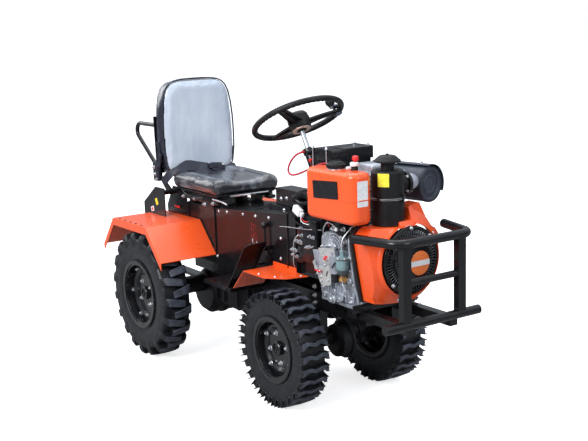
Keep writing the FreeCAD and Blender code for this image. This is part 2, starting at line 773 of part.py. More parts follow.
def rear_box():
    """Rear half of the body, under the seat, standing on the rails."""
    half = BODY_W / 2
    shell = box(-half, half, BODY_STEP_Y + SEAT_GAP, BODY_REAR_Y, RAIL_TOP, BODY_REAR_TOP_Z - SHEET)
    hollow = box(-half + SHEET, half - SHEET, BODY_STEP_Y, BODY_REAR_Y - SHEET, RAIL_TOP - 1, BODY_REAR_TOP_Z)
    ribs = [sided_box(side, half, half + 6, y, y + 14, RAIL_TOP + 50, BODY_REAR_TOP_Z - SHEET)
            for _, side in SIDES for y in (BODY_STEP_Y + 1, BODY_REAR_Y - 15)]
    return fused([shell.cut(hollow)] + ribs)


def footboards():
    """Flat footboards with a turned-up outer edge, on brackets from the rails."""
    outer = BOARD_X
    inner = RAIL_X + RAIL_W
    board = box(inner, outer, BOARD_FRONT_Y, BOARD_REAR_Y, BODY_BOTTOM_Z - 4, BODY_BOTTOM_Z)
    pieces = [board, box(outer - 4, outer, BOARD_FRONT_Y + 45, BOARD_REAR_Y, BODY_BOTTOM_Z - 18, BODY_BOTTOM_Z)]
    for y in (BOARD_FRONT_Y + 40, BOARD_REAR_Y - 65):
        pieces.append(box(inner, outer - 20, y, y + 30, BODY_BOTTOM_Z - 30, BODY_BOTTOM_Z - 4))
    return both(fused(pieces))


def footrests():
    """Sloping plates with a rounded top outer corner that rise from the front of the footboards."""
    foot = BOARD_FRONT_Y + 35
    rise = body_top_line(foot) - 115 - BODY_BOTTOM_Z
    slope = math.degrees(math.atan2(rise, 0.75 * rise))
    length = rise / math.sin(math.radians(slope))
    plate = box(BODY_W / 2 + 28, BOARD_X - 6, -length, 0, 0, 4)
    outer = [edge for edge in upright_edges(plate) if edge.CenterOfMass.x > BOARD_X - 10]
    plate = plate.makeFillet(34, [edge for edge in outer if edge.CenterOfMass.y < -1])
    plate.rotate(ORIGIN, X_AXIS, -slope)
    plate.translate(V(0, foot, BODY_BOTTOM_Z + SEAT_GAP))
    middle_y = foot - 0.75 * rise / 2
    middle_z = BODY_BOTTOM_Z + rise / 2
    arm = box(BODY_W / 2, BODY_W / 2 + 32, middle_y - 12, middle_y + 12, middle_z - 8, middle_z + 2)
    return both(fused([plate, arm]))


def front_fender(side):
    """Folded sheet over a front wheel: a flat top with a clipped corner and a sloping rear flap."""
    inner = BODY_W / 2 + SEAT_GAP
    fold = crease_y()
    top_z = front_fender_z()
    outer = FRONT_TRACK / 2 + FRONT_FENDER_REACH
    outline = [(inner, fold), (outer, fold), (outer, fold - 171), (outer - 65, fold - 251), (inner, fold - 276)]
    top = prism_z(outline, top_z, top_z + SHEET)
    flap = prism_x([(fold, top_z), (fold, top_z + SHEET), (fold + FRONT_FLAP, top_z - FRONT_FLAP),
                    (fold + FRONT_FLAP - 2, top_z - FRONT_FLAP - SHEET)], inner, outer)
    rim_edge = box(inner, inner + SHEET, BODY_FRONT_Y, fold, top_z, top_z + 22)
    return on_side(fused([top, flap, rim_edge]), side)


def rear_fender_line():
    """Folds of a rear fender's upper surface, as (y, z) points from the front."""
    top = REAR_FENDER_TOP_Z
    return [
        (REAR_AXLE_Y - REAR_TYRE_R + 46, top - 155), (REAR_AXLE_Y - REAR_TYRE_R + 196, top),
        (REAR_AXLE_Y + REAR_TYRE_R - 71, top - 3), (REAR_AXLE_Y + REAR_TYRE_R + 64, top - 160),
    ]


def rear_fender_height(y):
    """Height of the rear fender's upper surface at that y."""
    folds = rear_fender_line()
    for (y0, z0), (y1, z1) in zip(folds, folds[1:]):
        if y <= y1:
            return z0 + (z1 - z0) * (y - y0) / (y1 - y0)
    return folds[-1][1]


def rear_fender(side):
    """Three flat panels folded over a rear wheel, with a narrow outer lip."""
    inner = BODY_W / 2 + SEAT_GAP
    line = rear_fender_line()
    under = [(y, z - SHEET) for y, z in line]
    sheet = prism_x(line + under[::-1], inner + 6, REAR_FENDER_X)
    low = [(y, z - 38) for y, z in line]
    lip = prism_x(line + low[::-1], REAR_FENDER_X - SHEET, REAR_FENDER_X)
    return on_side(fused([sheet, lip]), side)


def rear_gussets():
    """Upright side plates on the rear fenders that carry the cross tube and the seat."""
    front = CROSS_TUBE_Y - 60
    rear = CROSS_TUBE_Y + 180
    top = CROSS_TUBE_Z + 30
    foot = [(y, rear_fender_height(y) + SEAT_GAP) for y in (front, rear - 60, rear)]
    upper = [(rear, top - 95), (CROSS_TUBE_Y + 40, top), (front, top)]
    return both(prism_x(foot + upper, GUSSET_X - SHEET, GUSSET_X + 2))


def back_rear_y():
    """Rear face of the backrest at its foot."""
    return CUSHION_REAR_Y + BACK_GAP + BACK_THICK


def grab_handles():
    """Bent tube hoop behind each side of the backrest."""
    y = back_rear_y() + 4
    low = BACK_Z + 30
    path = [V(HOOP_X, y, low), V(HOOP_X, y + 252, low + 186), V(HOOP_X, y + 202, low + 230),
            V(HOOP_X, y, low + 230)]
    hoop = bent_tube(path, HOOP_R, 38).cut(backrest_frame()).cut(seat_backrest())
    return both(max(hoop.Solids, key=lambda solid: solid.Volume))


def leaned(shape):
    """Lean a shape drawn upright at the backrest's foot, and move it there."""
    shape.rotate(ORIGIN, X_AXIS, -BACK_LEAN)
    shape.translate(V(0, CUSHION_REAR_Y + BACK_GAP, BACK_Z))
    return shape


def backrest_frame():
    """Steel back plate behind the backrest, on two lugs that hang on the cross tube."""
    back = BACK_THICK + SEAT_GAP
    plate = leaned(box(-BACK_W / 2 + 4, BACK_W / 2 - 4, back, back + 4, 10, BACK_H * 0.62))
    y = back_rear_y()
    foot_y = CROSS_TUBE_Y - 18
    lug = prism_x([
        (foot_y, CROSS_TUBE_Z - 14), (foot_y + 38, CROSS_TUBE_Z - 14), (y + 12, BACK_Z - 30),
        (y + 12, BACK_Z + 80), (y + 3, BACK_Z + 80), (y + 3, BACK_Z - 8), (foot_y, CROSS_TUBE_Z + 14),
    ], LUG_X, LUG_X + PLATE)
    tube = V(LUG_X, CROSS_TUBE_Y, CROSS_TUBE_Z)
    lug = lug.cut(rod(tube - X_AXIS * PLATE, tube + X_AXIS * 2 * PLATE, CROSS_TUBE_R + SEAT_GAP))
    return fused([plate, lug, mirrored(lug)])


def cross_tube():
    """Tube between the two gussets, behind the seat."""
    end = GUSSET_X - SHEET
    return rod(V(-end, CROSS_TUBE_Y, CROSS_TUBE_Z), V(end, CROSS_TUBE_Y, CROSS_TUBE_Z), CROSS_TUBE_R)


def seat_slides():
    """Seat pan on two runners that stand on feet over the rear of the body."""
    under = CUSHION_Z - SEAT_GAP
    pan = box(-SEAT_W / 2 + 30, SEAT_W / 2 - 30, CUSHION_FRONT_Y + 35, CUSHION_REAR_Y - 30, under - 8, under)
    pieces = [pan]
    for _, side in SIDES:
        runner_low = under - 30
        pieces.append(sided_box(side, RUNNER_X, RUNNER_X + 30, CUSHION_FRONT_Y + 60, BODY_REAR_Y - 5,
                                runner_low, under - 8))
        for y in (BODY_STEP_Y + 30, BODY_REAR_Y - 60):
            pieces.append(sided_box(side, RUNNER_X - 8, RUNNER_X + 38, y, y + 40, BODY_REAR_TOP_Z + SEAT_GAP,
                                    runner_low))
    tie = V(-RUNNER_X, CUSHION_FRONT_Y + 75, under - 20)
    pieces.append(rod(tie, tie + X_AXIS * 2 * RUNNER_X, 5))
    return fused(pieces)


def seat_cushion():
    """Seat cushion with raised bolsters and a rolled front edge."""
    half = SEAT_W / 2
    top = CUSHION_Z + CUSHION_H
    section = [(-half, CUSHION_Z), (half, CUSHION_Z), (half, top - 8), (half - 22, top), (half - 60, top - 4),
               (half - 92, top - 16), (-half + 92, top - 16), (-half + 60, top - 4), (-half + 22, top),
               (-half, top - 8)]
    cushion = prism_y(section, CUSHION_FRONT_Y, CUSHION_REAR_Y)
    corners = [edge for edge in upright_edges(cushion) if edge.CenterOfMass.y < CUSHION_FRONT_Y + 1]
    return cushion.makeFillet(45, corners)


def seat_backrest():
    """Tall backrest with a rounded top and side bolsters that stand forward."""
    half = BACK_W / 2
    block = box(-half, half, 0, BACK_THICK, 0, BACK_H)
    top = [edge for edge in block.Edges
           if abs(edge.tangentAt(0).y) > 0.9 and edge.CenterOfMass.z > BACK_H / 2]
    block = block.makeFillet(95, top)
    dish = prism_z([(-half + 58, -1), (half - 58, -1), (half - 78, 14), (-half + 78, 14)], 60, BACK_H - 90)
    return leaned(block.cut(dish))


def control_levers():
    """Ball-topped gear levers beside the body, one on each side of it."""
    x = BODY_W / 2 + 16
    low = V(x, crease_y() + 42, front_fender_z() + 77)
    high = V(x, low.y + 4, BODY_REAR_TOP_Z - 14)
    pivot = rod(V(BODY_W / 2 + SEAT_GAP, low.y, low.z), V(x + 8, low.y, low.z), 12)
    lever = fused([rod(low, high, 5), Part.makeSphere(15, high), pivot])
    return both(lever)


def pedals():
    """Clutch and brake pedals: a pad on a bent arm that turns on a boss at the body's side."""
    x = BODY_W / 2 + 14
    y = crease_y() + 18
    z = front_fender_z() + 35
    pivot = rod(V(BODY_W / 2 + SEAT_GAP, y, z), V(x + 10, y, z), 13)
    arm = prism_x([(y - 8, z), (y + 8, z), (y + 2, z + 54), (y - 8, z + 56)], x - 4, x + 4)
    pad = prism_x([(y - 16, z + 54), (y + 6, z + 50), (y + 8, z + 58), (y - 14, z + 62)], x - 12, x + 10)
    return both(fused([pivot, arm, pad]))


def drawbar():
    """Flat drawbar under the rear axle with a pin hole at its end."""
    bar = box(-30, 30, REAR_AXLE_Y + 60, DRAWBAR_END_Y, DRAWBAR_Z, DRAWBAR_Z + DRAWBAR_T)
    ends = [edge for edge in upright_edges(bar) if edge.CenterOfMass.y > DRAWBAR_END_Y - 1]
    bar = bar.makeFillet(20, ends).cut(rear_axle())
    hole = V(0, DRAWBAR_END_Y - DRAWBAR_HOLE_INSET, DRAWBAR_Z - 1)
    return bar.cut(rod(hole, hole + Z_AXIS * (DRAWBAR_T + 2), DRAWBAR_HOLE_R))


# Engine

def crankcase_base():
    """Top of the engine platform."""
    return RAIL_TOP + PLATE


def crankcase():
    """Cast crankcase; on its right side a ribbed gear cover, a round timing boss and the governor's plate."""
    base = crankcase_base()
    front = SHROUD_REAR_Y - SEAT_GAP
    side = CASE_RIGHT_X + CASE_COVER
    cylinder = V(CYLINDER_X, CYLINDER_Y, CASE_TOP_Z - 60)
    block = box(side, CASE_LEFT_X, SHROUD_REAR_Y + SEAT_GAP, CASE_REAR_Y, base, CASE_TOP_Z - 22)
    length = [edge for edge in block.Edges
              if abs(edge.tangentAt(0).y) > 0.9 and edge.CenterOfMass.z > base + 50]
    pieces = [
        block.makeFillet(30, length),
        rod(cylinder, cylinder + Z_AXIS * 60, CYLINDER_R + 26),
        box(side - 6, CASE_LEFT_X, SHROUD_REAR_Y + SEAT_GAP, CASE_REAR_Y, base, base + 14),
    ]
    cover = [(CASE_REAR_Y - 22, base + 26), (CASE_REAR_Y - 8, base + 118), (CASE_REAR_Y - 30, base + 232),
             (CASE_REAR_Y - 72, base + 268), (CASE_REAR_Y - 150, base + 272), (front + 34, base + 210),
             (front + 20, base + 90), (front + 36, base + 30)]
    pieces.append(prism_x(cover, side - CASE_COVER, side + 1))
    boss = V(side + 1, CASE_REAR_Y - 106, base + 264)
    pieces.append(rod(boss, boss - X_AXIS * (CASE_COVER + 12), 46))
    pieces.append(rod(boss, boss - X_AXIS * (CASE_COVER + 20), 22))
    outer = side - CASE_COVER
    for step in range(5):
        y = CASE_REAR_Y - 60 - 34 * step
        pieces.append(box(outer - 8, outer + 1, y - 7, y, base + 26, base + 96))
    pieces.append(box(outer - 6, outer + 1, CASE_REAR_Y - 204, CASE_REAR_Y - 50, base + 96, base + 104))
    drain = V(outer + 1, CASE_REAR_Y - 103, base + 34)
    pieces.append(rod(drain, drain - X_AXIS * 18, 14))
    plate = [(CASE_REAR_Y - 4, base + 223), (CASE_REAR_Y - 129, base + 242), (CASE_REAR_Y - 125, base + 143),
             (CASE_REAR_Y - 39, base + 110)]
    pieces.append(prism_x(plate, outer - 30, outer - 26))
    for y, z in ((CASE_REAR_Y - 34, base + 206), (CASE_REAR_Y - 60, base + 140)):
        pieces.append(rod(V(outer + 1, y, z), V(outer - 28, y, z), 9))
    return fused(pieces)


def injection_pump():
    """Fuel injection pump on the crankcase's side, with its outlet nut and its pipe's elbow."""
    face = CASE_RIGHT_X - SEAT_GAP
    y = CASE_REAR_Y - 152
    low = crankcase_base() + 148
    pieces = [
        box(face - 12, face, y - 34, y + 30, low + 6, low + 96),
        rod(V(face - 24, y, low), V(face - 24, y, low + 74), 23),
        rod(V(face - 24, y, low + 74), V(face - 24, y, low + 92), 16),
        rod(V(face - 24, y, low + 92), V(face - 24, y, low + 112), 9),
        rod(V(face - 24, y - 14, low + 34), V(face - 24, y - 44, low + 34), 10),
    ]
    nut = V(face - 24, y, low)
    pieces.append(Part.makeCone(17, 11, 12, nut, Z_AXIS * RIGHT))
    return fused(pieces).cut(crankcase())


def cylinder_block():
    """Finned cylinder and finned head with its rocker cover."""
    foot = V(CYLINDER_X, CYLINDER_Y, CASE_TOP_Z)
    pieces = [rod(foot, foot + Z_AXIS * (HEAD_TOP_Z - 30 - CASE_TOP_Z), CYLINDER_R)]
    pitch = (CYLINDER_TOP_Z - CASE_TOP_Z) / FIN_COUNT
    for i in range(FIN_COUNT):
        z = CASE_TOP_Z + pitch * (i + 0.4)
        pieces.append(box(CYLINDER_X - FIN_REACH, CYLINDER_X + FIN_REACH, CYLINDER_Y - FIN_REACH,
                          CYLINDER_Y + FIN_REACH, z, z + 4))
    head = box(CYLINDER_X - FIN_REACH + 8, CYLINDER_X + FIN_REACH - 8, CYLINDER_Y - FIN_REACH + 8,
               CYLINDER_Y + FIN_REACH - 8, CYLINDER_TOP_Z, HEAD_TOP_Z)
    pieces.append(head)
    for i in range(HEAD_FINS):
        z = CYLINDER_TOP_Z + (HEAD_TOP_Z - CYLINDER_TOP_Z) * (i + 0.4) / HEAD_FINS
        pieces.append(box(CYLINDER_X - FIN_REACH, CYLINDER_X + FIN_REACH, CYLINDER_Y - FIN_REACH,
                          CYLINDER_Y + FIN_REACH, z, z + 4))
    cover = box(CYLINDER_X - 58, CYLINDER_X + 52, CYLINDER_Y - 48, CYLINDER_Y + 56, HEAD_TOP_Z, ROCKER_TOP_Z)
    upper = [edge for edge in cover.Edges if edge.CenterOfMass.z > HEAD_TOP_Z + 1]
    pieces.append(cover.makeFillet(12, upper))
    filler = V(CYLINDER_X, CYLINDER_Y, ROCKER_TOP_Z)
    pieces.append(rod(filler - Z_AXIS, filler + Z_AXIS * 10, 16))
    flange = INTAKE_R + 6
    pieces.append(box(INTAKE_PORT_X - flange, INTAKE_PORT_X + flange, CYLINDER_Y - FIN_REACH - 4,
                      CYLINDER_Y - FIN_REACH + 28, INTAKE_Z - flange, INTAKE_Z + flange))
    return fused(pieces)


def shroud_outline(inset):
    """Fan housing's outline in the XZ plane, that far inside its outer face."""
    scale = 1 - inset / SHROUD_R
    duct = CLEANER_Z - SEAT_GAP
    rows = [
        [(SHROUD_LEFT + 25, 660)], [(SHROUD_LEFT, 807)], [(SHROUD_LEFT + 45, duct)],
        [(40, duct)], [(48, 914)], [(100, 920)], [(152, 820)], [(183, 805)], [(SHROUD_R - 3, 782)],
        [(SHROUD_R, FAN_Z + 19)], [(SHROUD_R - 23, FAN_Z - 90), (99, 543)], [(60, 525)], [(-100, 525)],
    ]

    def pulled(x, z):
        return (x * scale, FAN_Z + (z - FAN_Z) * scale)

    return curved_outline(pulled(SHROUD_LEFT + 48, 534), [[pulled(x, z) for x, z in row] for row in rows])


def shroud_shape(inset):
    """Solid fan housing, that far inside its outer faces: the deep base and the cone up to the fan's ring."""
    front = V(0, SHROUD_STEP_Y, 0)
    face = shroud_outline(inset)
    face.translate(V(0, SHROUD_STEP_Y + inset, 0))
    base = face.extrude(V(0, SHROUD_REAR_Y - SHROUD_STEP_Y - inset + (1 if inset else 0), 0))
    room = shroud_outline(inset)
    room.translate(V(0, SHROUD_FRONT_Y - 1, 0))
    room = room.extrude(V(0, SHROUD_REAR_Y - SHROUD_FRONT_Y, 0))
    depth = SHROUD_STEP_Y - SHROUD_FRONT_Y
    cone = turned([(-20, 0), (-20, SHROUD_R + 8 - inset), (0, SHROUD_R - inset), (16, SHROUD_R - 16 - inset),
                   (depth - 22, FAN_RING_R + 4 - inset), (depth - 12, FAN_RING_R - inset),
                   (depth, FAN_RING_R - inset), (depth, 0)], front + V(0, 0, FAN_Z), -Y_AXIS)
    return base.fuse(cone.common(room))


def fan_shroud():
    """Hollow pressed fan housing in front of the crankcase, open behind and round the fan cover."""
    opening = rod(V(0, SHROUD_FRONT_Y - 1, FAN_Z), V(0, SHROUD_STEP_Y, FAN_Z), FAN_COVER_R + SEAT_GAP)
    return shroud_shape(0).cut(shroud_shape(SHEET)).cut(opening).removeSplitter()


def fan_cover():
    """Round dished cover in the fan housing's mouth, with ring ribs, a raised centre and the starter's grip."""
    front = SHROUD_FRONT_Y
    pieces = [turned([
        (-14, 0), (-14, FAN_COVER_R - 4), (-14, FAN_COVER_R), (0, FAN_COVER_R), (4, FAN_COVER_R - 6), (4, 124),
        (-2, 120), (-2, 114), (6, 110), (6, 104), (0, 100), (0, 94), (COVER_DEPTH, 84), (COVER_DEPTH, 0),
    ], V(0, front, FAN_Z), -Y_AXIS)]
    grip = V(-92, front - 8, FAN_Z + 44)
    pieces.append(rod(grip, grip + V(-6, -22, 2), 13))
    pieces.append(rod(grip + V(-30, -24, -14), grip + V(22, -24, 18), 9))
    return fused(pieces)


def fuel_tank():
    """Pressed fuel tank beside the cylinder, with rounded corners and a rolled seam round its middle."""
    tank = box(TANK_OUTER_X, TANK_INNER_X, TANK_FRONT_Y, TANK_REAR_Y, TANK_Z, TANK_TOP_Z)
    tank = tank.makeFillet(40, upright_edges(tank))
    level = [edge for edge in tank.Edges if edge.BoundBox.ZLength < 1]
    tank = tank.makeFillet(22, level)
    middle = (TANK_Z + TANK_TOP_Z) / 2 - 6
    seam = box(TANK_OUTER_X - 2, TANK_INNER_X + 2, TANK_FRONT_Y - 2, TANK_REAR_Y + 2, middle, middle + 4)
    neck = rod(V(CAP_X, CAP_Y, TANK_TOP_Z - 6), V(CAP_X, CAP_Y, TANK_TOP_Z + 5), 30)
    return fused([tank, seam.makeFillet(41, upright_edges(seam)), neck])


def tank_bracket():
    """Bracket from the crankcase's top to the underside of the tank."""
    top = TANK_Z - SEAT_GAP
    side = CASE_RIGHT_X + CASE_COVER + 34
    rear = CASE_REAR_Y - 40
    shelf = box(TANK_OUTER_X + 30, side + 6, rear - 160, rear, top - 5, top)
    posts = [box(side, side + 6, y - 40, y, CASE_TOP_Z - 22 - SEAT_GAP, top) for y in (rear, rear - 120)]
    return fused([shelf] + posts).cut(crankcase())


def exhaust_elbow():
    """Exhaust pipe from the head's left side into the silencer."""
    z = SILENCER_Z - 8
    start = V(CYLINDER_X + FIN_REACH + SEAT_GAP, CYLINDER_Y - 10, z)
    flange = rod(start, start + X_AXIS * 8, 34)
    return fused([flange, rod(start, V(SILENCER_X, start.y, z), 22)]).cut(muffler())


def tank_cap():
    """Screw cap of the fuel tank, with grip ribs round its edge."""
    start = TANK_TOP_Z + 5 + SEAT_GAP
    cap = turned([(0, 0), (0, 36), (3, 38), (14, 38), (22, 30), (23, 0)], V(CAP_X, CAP_Y, start), Z_AXIS)
    ribs = []
    for i in range(12):
        rib = box(35, 40, -5, 5, 2, 15)
        rib.rotate(ORIGIN, Z_AXIS, 30 * i)
        rib.translate(V(CAP_X, CAP_Y, start))
        ribs.append(rib)
    return fused([cap] + ribs)


def air_cleaner():
    """Upright air cleaner with a seam ring, a mushroom cap and the flange of its outlet."""
    h = CLEANER_H
    outline = [
        (0, 0), (0, CLEANER_R - 3), (3, CLEANER_R), (h - 120, CLEANER_R), (h - 118, CLEANER_R + 3),
        (h - 112, CLEANER_R + 3), (h - 110, CLEANER_R - 1), (h - 12, CLEANER_R - 1), (h - 4, CLEANER_R - 6),
        (h, CLEANER_R - 16), (h, 27), (h + 28, 27), (h + 30, 52), (h + 36, 54), (h + 50, 38), (h + 55, 30),
        (h + 55, 0),
    ]
    body = turned(outline, V(CLEANER_X, CLEANER_Y, CLEANER_Z), Z_AXIS)
    start = V(CLEANER_X, INTAKE_Y, INTAKE_Z)
    neck = rod(start, V(flange_x() - 10, INTAKE_Y, INTAKE_Z), INTAKE_R + 8)
    flange = rod(V(flange_x() - 14, INTAKE_Y, INTAKE_Z), V(flange_x(), INTAKE_Y, INTAKE_Z), INTAKE_R + 17)
    return fused([body, neck, flange])


def flange_x():
    """Outer face of the air cleaner's outlet flange."""
    return CLEANER_X + CLEANER_R + 34


def intake_elbow():
    """Pale intake pipe from the air cleaner's outlet round to the head's port."""
    start = V(flange_x() + SEAT_GAP, INTAKE_Y, INTAKE_Z)
    seat = CYLINDER_Y - FIN_REACH - 4 - SEAT_GAP
    end = V(INTAKE_PORT_X, seat, INTAKE_Z)
    pipe = bent_tube([start, V(INTAKE_X, INTAKE_Y, INTAKE_Z), end], INTAKE_R, INTAKE_R + 2)
    trim = box(0, SILENCER_X, seat, CYLINDER_Y, INTAKE_Z - 2 * INTAKE_R, INTAKE_Z + 2 * INTAKE_R)
    return pipe.cut(trim)


def muffler_axis():
    """Direction from the silencer's front face to its back."""
    turn = math.radians(SILENCER_TURN)
    return V(-math.sin(turn), math.cos(turn), 0)


def muffler():
    """Round silencer with stepped ends and a shield over its top and outer side."""
    front = V(SILENCER_X, SILENCER_Y, SILENCER_Z)
    length = SILENCER_L
    drum = turned([
        (7, 0), (7, 30), (3, 34), (3, 40), (7, 44), (7, 54), (0, 60), (0, SILENCER_R - 5), (4, SILENCER_R),
        (length - 4, SILENCER_R), (length, SILENCER_R - 5), (length, 0),
    ], front, muffler_axis())
    inner = SILENCER_R + GUARD_GAP
    far = length * 0.9
    outer = inner + 2.5
    shield = polygon([V(-6, 0, inner), V(far, 0, inner), V(far, 0, outer), V(-6, 0, outer)])
    shield = shield.revolve(ORIGIN, X_AXIS, GUARD_SPAN)
    shield.rotate(ORIGIN, X_AXIS, -GUARD_START)
    feet = []
    for along in (40, length - 60):
        for angle in (20, GUARD_SPAN - 20):
            foot = rod(V(along, 0, SILENCER_R - 3), V(along, 0, inner + 1), 8)
            foot.rotate(ORIGIN, X_AXIS, angle - GUARD_START)
            feet.append(foot)
    guard = fused([shield] + feet)
    guard.Placement = FreeCAD.Placement(front, FreeCAD.Rotation(X_AXIS, muffler_axis()))
    return fused([drum, guard])


def tray_z():
    """Top face of the battery tray."""
    return BATTERY_Z - SEAT_GAP


def battery():
    """Starter battery with its lid, two terminals and a hold-down bar."""
    x1 = BATTERY_X + BATTERY_W
    y0 = BATTERY_REAR_Y - BATTERY_L
    top = BATTERY_Z + BATTERY_H
    case = box(BATTERY_X, x1, y0, BATTERY_REAR_Y, BATTERY_Z, top - 22)
    lid = box(BATTERY_X - 3, x1 + 3, y0 - 3, BATTERY_REAR_Y + 3, top - 42, top - 12)
    pieces = [case, lid, box(BATTERY_X + 4, x1 - 4, y0 + 40, BATTERY_REAR_Y - 6, top - 12, top)]
    for x in (BATTERY_X + 24, x1 - 24):
        pieces.append(rod(V(x, y0 + 20, top - 13), V(x, y0 + 20, top + 6), 9))
    bar_y = y0 + BATTERY_L / 2
    pieces.append(box(BATTERY_X - 14, x1 + 14, bar_y - 9, bar_y + 9, top - 1, top + 4))
    block = fused(pieces)
    for x in (BATTERY_X - 8, x1 + 8):
        block = block.cut(rod(V(x, bar_y, BATTERY_Z), V(x, bar_y, top + 10), 3 + RUNNING_FIT))
    return block


def battery_tray():
    """Tray with a low rim on two legs from the nose, with the hold-down's rods."""
    x1 = BATTERY_X + BATTERY_W
    y0 = BATTERY_REAR_Y - BATTERY_L
    top = tray_z()
    nose_top = body_top_line(BODY_FRONT_Y) + SEAT_GAP
    plate = box(BATTERY_X - 16, x1 + 16, y0 - 6, BATTERY_REAR_Y + 2, top - SHEET * 2, top)
    rim_edge = box(BATTERY_X - 16, x1 + 16, y0 - 9, y0 - 6, top - SHEET * 2, top + 24)
    pieces = [plate, rim_edge]
    for x in (BATTERY_X + 4, x1 - 40):
        pieces.append(box(x, x + 6, y0 + 10, BATTERY_REAR_Y - 4, nose_top, top - SHEET * 2))
        pieces.append(box(x - 12, x + 18, y0 + 10, BATTERY_REAR_Y - 4, nose_top, nose_top + 5))
    for x in (BATTERY_X - 8, x1 + 8):
        foot = V(x, y0 + BATTERY_L / 2, top - 1)
        pieces.append(rod(foot, foot + Z_AXIS * (BATTERY_Z + BATTERY_H + 18 - foot.z), 3))
    return fused(pieces)


def throttle_cable():
    """Throttle cable from its clip on the column, down in a loop and forward into the head's cover."""
    clip = cable_clip()
    end = V(CYLINDER_X - 30, CYLINDER_Y + 56 + SEAT_GAP, HEAD_TOP_Z + 16)
    path = [
        clip + V(0, 8 + SEAT_GAP, 0), clip + V(-6, 46, -8), clip + V(-14, 96, -34), clip + V(-18, 134, -78),
        clip + V(-20, 136, -132), clip + V(-22, 96, -172), clip + V(-26, 34, -184), clip + V(-34, -38, -170),
        clip + V(-42, -112, -136), clip + V(-46, -188, -98), clip + V(-40, -262, -64), end + V(-22, 84, 2),
        end + V(-2, 34, 0), end,
    ]
    return bent_tube(path, CABLE_R)


# Front guard

def bumper():
    """Tubular front guard with its two arms to the rails."""
    y = BUMPER_Y
    arm_x = RAIL_X + RAIL_W
    bow = BUMPER_LOW_HALF - 11
    pieces = [
        rod(V(-BUMPER_LOW_HALF, y, BUMPER_LOW_Z), V(BUMPER_LOW_HALF, y, BUMPER_LOW_Z), BUMPER_TUBE_R),
        rod(V(-BUMPER_POST_X, y, BUMPER_MID_Z), V(BUMPER_POST_X, y, BUMPER_MID_Z), BUMPER_MID_R),
        bent_tube([V(-bow, y + 195, BUMPER_TOP_Z), V(50 - bow, y - 15, BUMPER_TOP_Z),
                   V(bow - 50, y - 15, BUMPER_TOP_Z), V(bow, y + 195, BUMPER_TOP_Z)], BUMPER_TUBE_R, 60),
    ]
    for _, side in SIDES:
        post = sided_box(side, BUMPER_POST_X - POST_W / 2, BUMPER_POST_X + POST_W / 2, y - 15, y + 15,
                         BUMPER_LOW_Z, BUMPER_TOP_Z)
        arm = sided_box(side, arm_x, arm_x + BUMPER_BOX, y, FRAME_FRONT_Y + 65, RAIL_TOP - BUMPER_BOX, RAIL_TOP)
        pieces += [post, arm]
    return fused(pieces)


# All nodes

def wheels():
    """Tyres, rims and hubs of the four wheels, by name."""
    found = {}
    ends = (
        ("front", FRONT_TRACK, FRONT_AXLE_Y, FRONT_TYRE_R, front_tyre(),
         rim(FRONT_TYRE_W, FRONT_BEAD_R, FRONT_DISC_X, FRONT_HUB_HOLE), front_hub()),
        ("rear", REAR_TRACK, REAR_AXLE_Y, REAR_TYRE_R, rear_tyre(),
         rim(REAR_TYRE_W, REAR_BEAD_R, REAR_DISC_X, REAR_HUB_HOLE), rear_hub()),
    )
    for end, track, axle_y, axle_z, tyre, wheel, hub in ends:
        for name, side in SIDES:
            found[f"{end}_tyre_{name}"] = placed_wheel(tyre, track, axle_y, axle_z, side)
            found[f"{end}_rim_{name}"] = placed_wheel(wheel, track, axle_y, axle_z, side)
            found[f"{end}_hub_{name}"] = placed_wheel(hub, track, axle_y, axle_z, side)
    return found


def parts():
    """Every node's name and shape."""
    found = {
        "chassis_frame": chassis_frame(),
        "engine_platform": engine_platform(),
        "body_side_panels": side_panels(),
        "body_top": body_top(),
        "rear_body_box": rear_box(),
        "footboards": footboards(),
        "footrest_plates": footrests(),
        "rear_gussets": rear_gussets(),
        "backrest_frame": backrest_frame(),
        "grab_handles": grab_handles(),
        "seat_cross_tube": cross_tube(),
        "seat_slides": seat_slides(),
        "seat_cushion": seat_cushion(),
        "seat_backrest": seat_backrest(),
        "control_levers": control_levers(),
        "pedals": pedals(),
        "drawbar": drawbar(),
        "rear_axle": rear_axle(),
        "gearbox": gearbox(),
        "prop_shaft": prop_shaft(),
        "front_axle": front_axle(),
        "tie_rod": tie_rod(),
        "pitman_arm": pitman_arm(),
        "steering_gearbox": steering_gearbox(),
        "steering_column": steering_column(),
        "steering_wheel": steering_wheel(),
        "crankcase": crankcase(),
        "injection_pump": injection_pump(),
        "cylinder_block": cylinder_block(),
        "fan_shroud": fan_shroud(),
        "fan_cover": fan_cover(),
        "fuel_tank": fuel_tank(),
        "tank_bracket": tank_bracket(),
        "tank_cap": tank_cap(),
        "air_cleaner": air_cleaner(),
        "intake_elbow": intake_elbow(),
        "exhaust_elbow": exhaust_elbow(),
        "muffler": muffler(),
        "battery": battery(),
        "battery_tray": battery_tray(),
        "throttle_cable": throttle_cable(),
        "bumper": bumper(),
    }
    found.update(wheels())
    for name, side in SIDES:
        found[f"knuckle_{name}"] = knuckle(side)
        found[f"front_fender_{name}"] = front_fender(side)
        found[f"rear_fender_{name}"] = rear_fender(side)
    return found


os.makedirs("parts", exist_ok=True)
for node, shape in parts().items():
    shape.exportStep(f"parts/{node}.step")
    print(node, len(shape.Solids), shape.isValid(), round(shape.Volume / 1000))
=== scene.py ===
"""Looks of the compact tractor: materials, soft goods, small fittings, lights and camera."""
import json
import math
import random
import sys

